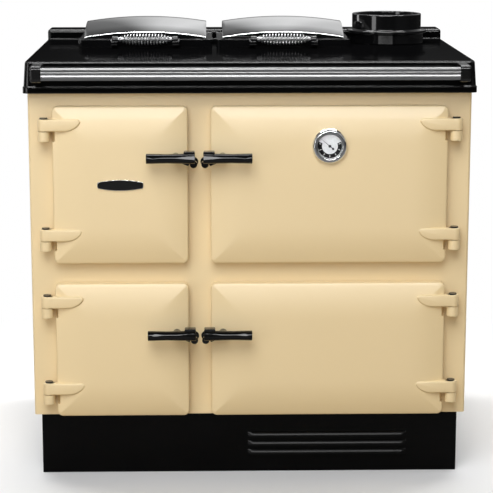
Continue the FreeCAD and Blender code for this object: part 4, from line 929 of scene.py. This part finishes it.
def lozenge(inset):
    b = badgeShape
    half, top = b["length"] / 2 - inset, b["height"] / 2 - inset
    end = b["end"] / 2 - inset * b["endDraw"]
    shoulder = b["shoulder"] - inset
    sweep = arcRadius(shoulder, top - end)
    points = []
    for side in (1, -1):
        for i in range(b["arcSteps"] + 1):
            x = side * shoulder * (1 - 2 * i / b["arcSteps"])
            z = side * (top - sweep + math.sqrt(sweep ** 2 - x ** 2))
            points.append((b["x"] + x, b["z"] + z))
        for i in range(1, b["endSteps"]):
            a = math.pi * i / b["endSteps"]
            x = -side * between(shoulder, half, math.sin(a) ** b["endSwell"])
            points.append((b["x"] + x, b["z"] + side * end * math.cos(a)))
    return points


def makeBadge():
    b = badgeShape
    rim = plateMesh(lozenge(0), b["front"], b["back"], b["rimSoft"])
    placePiece("badge_rim", rim, "brightChrome", "badge", 30)
    field = plateMesh(lozenge(b["rim"]), b["fieldFront"], b["fieldBack"])
    placePiece("badge_field", field, "ironBlack", "badge", 30, False)


makeBadge()


# Thermometer

gaugeShape = inMetres(
    x=172.5, z=761, bandY=-328.8, marksY=-328.95, bandInner=17.2, bandOuter=26.4, ink=0.12,
    markWidth=0.9, markDepth=0.1,
) | {"start": 158.0, "end": 382.0, "steps": 60, "arcSteps": 64, "marks": 7, "markInset": 8,
     "markShare": 0.5}


def bandMesh():
    g = gaugeShape
    work = bmesh.new()
    rings = []
    for i in range(g["steps"] + 1):
        a = math.radians(between(g["start"], g["end"], i / g["steps"]))
        rings.append([work.verts.new((g["x"] + r * math.cos(a), g["bandY"], g["z"] + r * math.sin(a)))
                      for r in (g["bandInner"], g["bandOuter"])])
    for first, second in zip(rings, rings[1:]):
        work.faces.new((first[0], first[1], second[1], second[0]))
    return settled("sector", meshFrom(work, "sector"), [
        ("SOLIDIFY", {"thickness": g["ink"], "offset": 0.0})])


def markTree(inputs):
    tree, given = startGrowth("markGrowth", inputs)
    arc = flow(tree, "GeometryNodeCurveArc", {
        "Radius": given["Radius"], "Start Angle": given["Start"], "Sweep Angle": given["Sweep"],
        "Resolution": gaugeShape["arcSteps"]}, mode="RADIUS")
    points = flow(tree, "GeometryNodeCurveToPoints", {
        "Curve": arc, "Count": given["Count"]}, mode="COUNT")
    mark = flow(tree, "GeometryNodeMeshCube", {"Size": combined(
        tree, given["Mark Length"], given["Mark Width"], gaugeShape["markDepth"])})
    turn = flow(tree, "FunctionNodeAlignRotationToVector", {
        "Vector": flow(tree, "GeometryNodeInputPosition")}, axis="X")
    marks = flow(tree, "GeometryNodeInstanceOnPoints", {
        "Points": points, "Instance": mark, "Rotation": turn})
    return finishGrowth(tree, marks, "markPale")


def makeGauge():
    g = gaugeShape
    dressedCopies("brightChrome", 30, "thermometer_case")
    dressedCopies("dialFace", 30, "thermometer_dial")
    dressedCopies("gaugeGlass", 30, "thermometer_glass")
    dressedCopies("needleDark", 30, "thermometer_needle")
    placePiece("gauge_band", bandMesh(), "bandBlack", "thermometer_dial", 30, False)
    inner, outer = g["bandInner"], g["bandOuter"]
    inputs = {
        "Count": g["marks"], "Radius": (inner + outer) / 2,
        "Start": math.radians(g["start"] + g["markInset"]),
        "Sweep": math.radians(g["end"] - g["start"] - 2 * g["markInset"]),
        "Mark Length": (outer - inner) * g["markShare"], "Mark Width": g["markWidth"]}
    marks = grown("marks", markTree(inputs), inputs)
    upright = Matrix.Rotation(math.radians(90), 4, "X")
    marks.transform(Matrix.Translation((g["x"], g["marksY"], g["z"])) @ upright)
    placePiece("gauge_marks", marks, "markPale", "thermometer_dial", 30, False)


makeGauge()
print("stage: thermometer made")


# Inside

dressedCopies("ovenCasting", 30, "main_oven", "lower_oven")
dressedCopies("rawCasting", 30, "combustion_chamber", "flue_chest")
dressedCopies("plinthBlack", 34, "burner")
dressedCopies("zincSheet", 30, "control_box")
dressedCopies("knobPlastic", 34, "thermostat_knob")
dressedCopies("copperPipe", 34, "fuel_pipe")
dressedCopies("zincSheet", 32, *("door_liner_" + name for name in doorSizes))


# Rope seals, laid as three strands twisted round a rounded loop

sealShape = inMetres(inset=13.5, corner=9, y=-295.7, strand=2.9, twist=2.3, pitch=26, step=3) | {
    "strands": 3, "sides": 8, "sideSteps": 60, "cornerSteps": 8}


def evenly(points, step):
    following = points[1:] + points[:1]
    lengths = [0.0]
    for here, there in zip(points, following):
        lengths.append(lengths[-1] + (there - here).length)
    total = lengths[-1]
    count = int(total / step)
    made, at = [], 0
    for k in range(count):
        want = total * k / count
        while lengths[at + 1] < want:
            at += 1
        share = (want - lengths[at]) / (lengths[at + 1] - lengths[at])
        made.append(points[at].lerp(following[at], share))
    return made, total


def makeSeal(name):
    s = sealShape
    outline = ringPoints(name, s["inset"], s["corner"], s["sideSteps"], s["cornerSteps"])
    line, total = evenly([Vector((x, s["y"], z)) for x, z in outline], s["step"])
    turns = round(total / s["pitch"])
    outward = unitWays[1]
    strands = []
    for k in range(s["strands"]):
        path = []
        for i, point in enumerate(line):
            way = (line[(i + 1) % len(line)] - line[i - 1]).normalized()
            side = way.cross(outward).normalized()
            a = 2 * math.pi * (turns * i / len(line) + k / s["strands"])
            path.append(point + (side * math.cos(a) + outward * math.sin(a)) * s["twist"])
        strands.append(loopedTube(path, s["strand"], s["sides"]))
    placePiece("rope_seal_" + name, joined("seal", strands), "ropeFibre", "door_seal_" + name, 60)


for doorName in doorSizes:
    makeSeal(doorName)


# Oven racks grown from wires

rackShape = inMetres(wire=2.2, frame=2.9, corner=12) | {
    "bars": 15, "cornerSteps": 6, "frameSides": 10, "barSides": 8}


def rackTree():
    r = rackShape
    tree, given = startGrowth("rackGrowth", {
        "Width": 0.39, "Depth": 0.37, "Bars": r["bars"], "Wire": r["wire"], "Frame": r["frame"]})
    outline = flow(tree, "GeometryNodeCurvePrimitiveQuadrilateral", {
        "Width": given["Width"], "Height": given["Depth"]})
    rounded = flow(tree, "GeometryNodeFilletCurve", {
        "Curve": outline, "Radius": r["corner"], "Count": r["cornerSteps"]}, mode="POLY")
    border = wireOn(tree, rounded, given["Frame"], r["frameSides"])
    halfDepth = times(tree, given["Depth"], 0.5)
    line = flow(tree, "GeometryNodeCurvePrimitiveLine", {
        "Start": combined(tree, y=times(tree, halfDepth, -1.0)), "End": combined(tree, y=halfDepth)})
    bar = wireOn(tree, line, given["Wire"], r["barSides"], True)
    gap = sums(tree, "DIVIDE", given["Width"], sums(tree, "ADD", given["Bars"], 1.0))
    first = sums(tree, "ADD", times(tree, given["Width"], -0.5), gap)
    places = flow(tree, "GeometryNodeMeshLine", {
        "Count": given["Bars"], "Start Location": combined(tree, first), "Offset": combined(tree, gap)})
    bars = flow(tree, "GeometryNodeInstanceOnPoints", {"Points": places, "Instance": bar})
    both = addNode(tree, "GeometryNodeJoinGeometry", {"Geometry": border})
    tree.links.new(bars, both.inputs["Geometry"])
    return finishGrowth(tree, both.outputs["Geometry"], "rackChrome")


rackGrowth = rackTree()
for rackNode in ("main_oven_shelf_lower", "main_oven_shelf_upper", "lower_oven_shelf"):
    rackLow, rackHigh = nodeBox(rackNode)
    edges = 2 * rackShape["frame"]
    rack = grown("rack", rackGrowth, {
        "Width": rackHigh.x - rackLow.x - edges, "Depth": rackHigh.y - rackLow.y - edges,
        "Bars": rackShape["bars"], "Wire": rackShape["wire"], "Frame": rackShape["frame"]})
    rack.transform(Matrix.Translation((rackLow + rackHigh) / 2))
    placePiece("rack_" + rackNode, rack, "rackChrome", rackNode, 60)
print("stage: racks grown")


# Insulation, a wool block in rippled foil

woolShape = {"Depth": 1.5 * mm, "Scale": 18.0}
woolLevel = 4


def woolBlock():
    work = workOn(mergedCopy("oven_insulation"))
    bmesh.ops.triangulate(work, faces=work.faces)
    return meshFrom(work, "wool")


def woolTree():
    tree, given = startGrowth("woolGrowth", woolShape)
    fine = flow(tree, "GeometryNodeSubdivideMesh", {"Mesh": given["Geometry"], "Level": woolLevel})
    ripple = flow(tree, "ShaderNodeTexNoise", {"Scale": given["Scale"]})
    push = times(tree, times(tree, ripple, given["Depth"]), -1.0)
    inward = flow(tree, "ShaderNodeVectorMath", {
        0: flow(tree, "GeometryNodeInputNormal"), "Scale": push}, operation="SCALE")
    creased = flow(tree, "GeometryNodeSetPosition", {"Geometry": fine, "Offset": inward})
    return finishGrowth(tree, creased, "foilFacing")


placePiece("insulation_block", grown("wool", woolTree(), woolShape, woolBlock()), "foilFacing",
           "oven_insulation", 40)
print("stage: insulation made")


# Floor, lamps and world

floorLook = {
    "size": 30.0, "colour": (0.72, 0.716, 0.708), "bounce": (0.27, 0.21, 0.13),
    "mirrored": (0.2, 0.2, 0.2), "near": 0.5, "far": 1.4,
}


def floorMaterial():
    # Pale near the cooker and white beyond, with a plainer floor for what the cooker mirrors and
    # a warm one for the light that the floor throws back
    made, tree, place = startMaterial("paleFloor")
    path = addNode(tree, "ShaderNodeLightPath").outputs
    tone = colourRamp(
        tree, noiseOn(tree, place, 2.0), shades(floorLook["colour"], (0.3, 0.995), (0.7, 1.0)))
    plain, bounce, mirrored = (
        flow(tree, "ShaderNodeBsdfDiffuse", {"Color": colour})
        for colour in (tone, (*floorLook["bounce"], 1), (*floorLook["mirrored"], 1)))
    beyond = flow(tree, "ShaderNodeEmission", {"Strength": 1.0})
    away = addNode(tree, "ShaderNodeVectorMath", {0: place}, operation="LENGTH").outputs["Value"]
    fade = flow(tree, "ShaderNodeMapRange", {
        "Value": away, "From Min": floorLook["near"], "From Max": floorLook["far"]},
        interpolation_type="SMOOTHSTEP")
    seen = mixed(tree, fade, plain, beyond)
    unseen = mixed(tree, path["Is Glossy Ray"], bounce, mirrored)
    addNode(tree, "ShaderNodeOutputMaterial", {
        "Surface": mixed(tree, path["Is Camera Ray"], unseen, seen)})
    return made


def makeFloor():
    work = bmesh.new()
    half = floorLook["size"]
    corners = ((-half, -half), (half, -half), (half, half), (-half, half))
    work.faces.new([work.verts.new((x, y, 0)) for x, y in corners])
    floor = addObject("floor", meshFrom(work, "floor"))
    floor.data.materials.append(floorMaterial())


makeFloor()

# Lamps that don't show in mirrors or don't light matt surfaces say so
lampPlan = {
    "key": {"place": (-0.8, -3.5, 4.3), "aim": (0, 0, 0.55), "size": (3.4, 3.2), "power": 210.0,
            "shows": False, "colour": (0.975, 1.0, 1.045)},
    "glint": {"place": (-0.3, -3.9, 2.3), "aim": (-0.1, -0.3, 0.7), "size": (3.4, 0.9), "power": 110.0,
              "lights": False},
    "low": {"place": (-0.5, -4.6, 1.3), "aim": (0, 0, 0.6), "size": (3.0, 1.6), "power": 34.0,
            "shows": False, "colour": (1.0, 0.94, 0.84)},
    "top": {"place": (0.0, 0.55, 3.7), "aim": (0, 0.549, 0), "size": (3.6, 0.9), "power": 180.0},
    "strip": {"place": (-2.7, -2.6, 0.9), "aim": (0.3, 0.1, 0.95), "size": (1.0, 1.7), "power": 17.0},
    "rim": {"place": (-2.6, 1.6, 1.0), "aim": (0.3, 0.1, 0.95), "size": (0.6, 1.8), "power": 12.0},
    "side": {"place": (3.6, 0.35, 1.7), "aim": (0.4, 0.1, 0.5), "size": (1.8, 1.8), "power": 30.0,
             "shows": False},
    "rear": {"place": (-0.6, 4.2, 2.0), "aim": (0, 0.3, 0.5), "size": (2.4, 1.8), "power": 40.0,
             "shows": False},
}


def makeLamps():
    for name, plan in lampPlan.items():
        data = bpy.data.lights.new(name, "AREA")
        data.shape = "RECTANGLE"
        data.size, data.size_y = plan["size"]
        data.energy = plan["power"]
        data.color = plan.get("colour", white)
        lamp = addObject(name, data)
        lamp.location = plan["place"]
        lamp.visible_glossy = plan.get("shows", True)
        lamp.visible_diffuse = plan.get("lights", True)
        lamp.rotation_euler = (Vector(plan["aim"]) - lamp.location).to_track_quat("-Z", "Y").to_euler()


makeLamps()

# What glossy surfaces mirror: grey levels round the horizon, from the back over left, front and
# right, times grey levels from the horizon up
skyLook = {
    "fill": 0.07,
    "round": (
        (0.0, 0.74), (0.005, 0.62), (0.018, 0.2), (0.05, 0.12), (0.09, 0.5), (0.2, 0.48), (0.24, 0.3),
        (0.3, 0.3), (0.36, 0.45), (0.41, 0.42), (0.45, 0.12), (0.55, 0.12), (0.59, 0.42), (0.66, 0.45),
        (0.72, 0.3), (0.78, 0.4), (0.88, 0.7), (0.95, 0.66), (0.975, 0.66), (0.987, 0.84), (1.0, 0.74)),
    "rise": ((0.0, 0.06), (0.09, 0.16), (0.13, 0.62), (0.2, 0.92), (0.3, 1.0), (0.68, 1.0),
             (0.86, 0.35), (1.0, 0.12)),
}


def makeWorld():
    world = bpy.data.worlds.new("studio")
    bpy.context.scene.world = world
    world.use_nodes = True
    tree = world.node_tree
    tree.nodes.clear()
    path = addNode(tree, "ShaderNodeLightPath").outputs
    coords = addNode(tree, "ShaderNodeTexCoord")
    split = addNode(tree, "ShaderNodeSeparateXYZ", {"Vector": coords.outputs["Generated"]}).outputs
    angle = sums(tree, "ARCTAN2", split["X"], times(tree, split["Y"], -1.0))
    turn = sums(tree, "ADD", sums(tree, "DIVIDE", angle, 2 * math.pi), 0.5)
    sides = colourRamp(tree, turn, shades(white, *skyLook["round"]))
    rise = colourRamp(tree, split["Z"], shades(white, *skyLook["rise"]))
    seen, fill, gloss = (
        flow(tree, "ShaderNodeBackground", {"Color": colour, "Strength": strength})
        for colour, strength in (
            ((*white, 1), 1.0), ((*white, 1), skyLook["fill"]), (times(tree, sides, rise), 1.0)))
    unseen = mixed(tree, path["Is Glossy Ray"], fill, gloss)
    clear = sums(tree, "MAXIMUM", path["Is Camera Ray"], path["Is Transmission Ray"])
    addNode(tree, "ShaderNodeOutputWorld", {"Surface": mixed(tree, clear, unseen, seen)})


makeWorld()
bpy.context.scene.view_settings.view_transform = "Standard"
print("stage: studio ready")
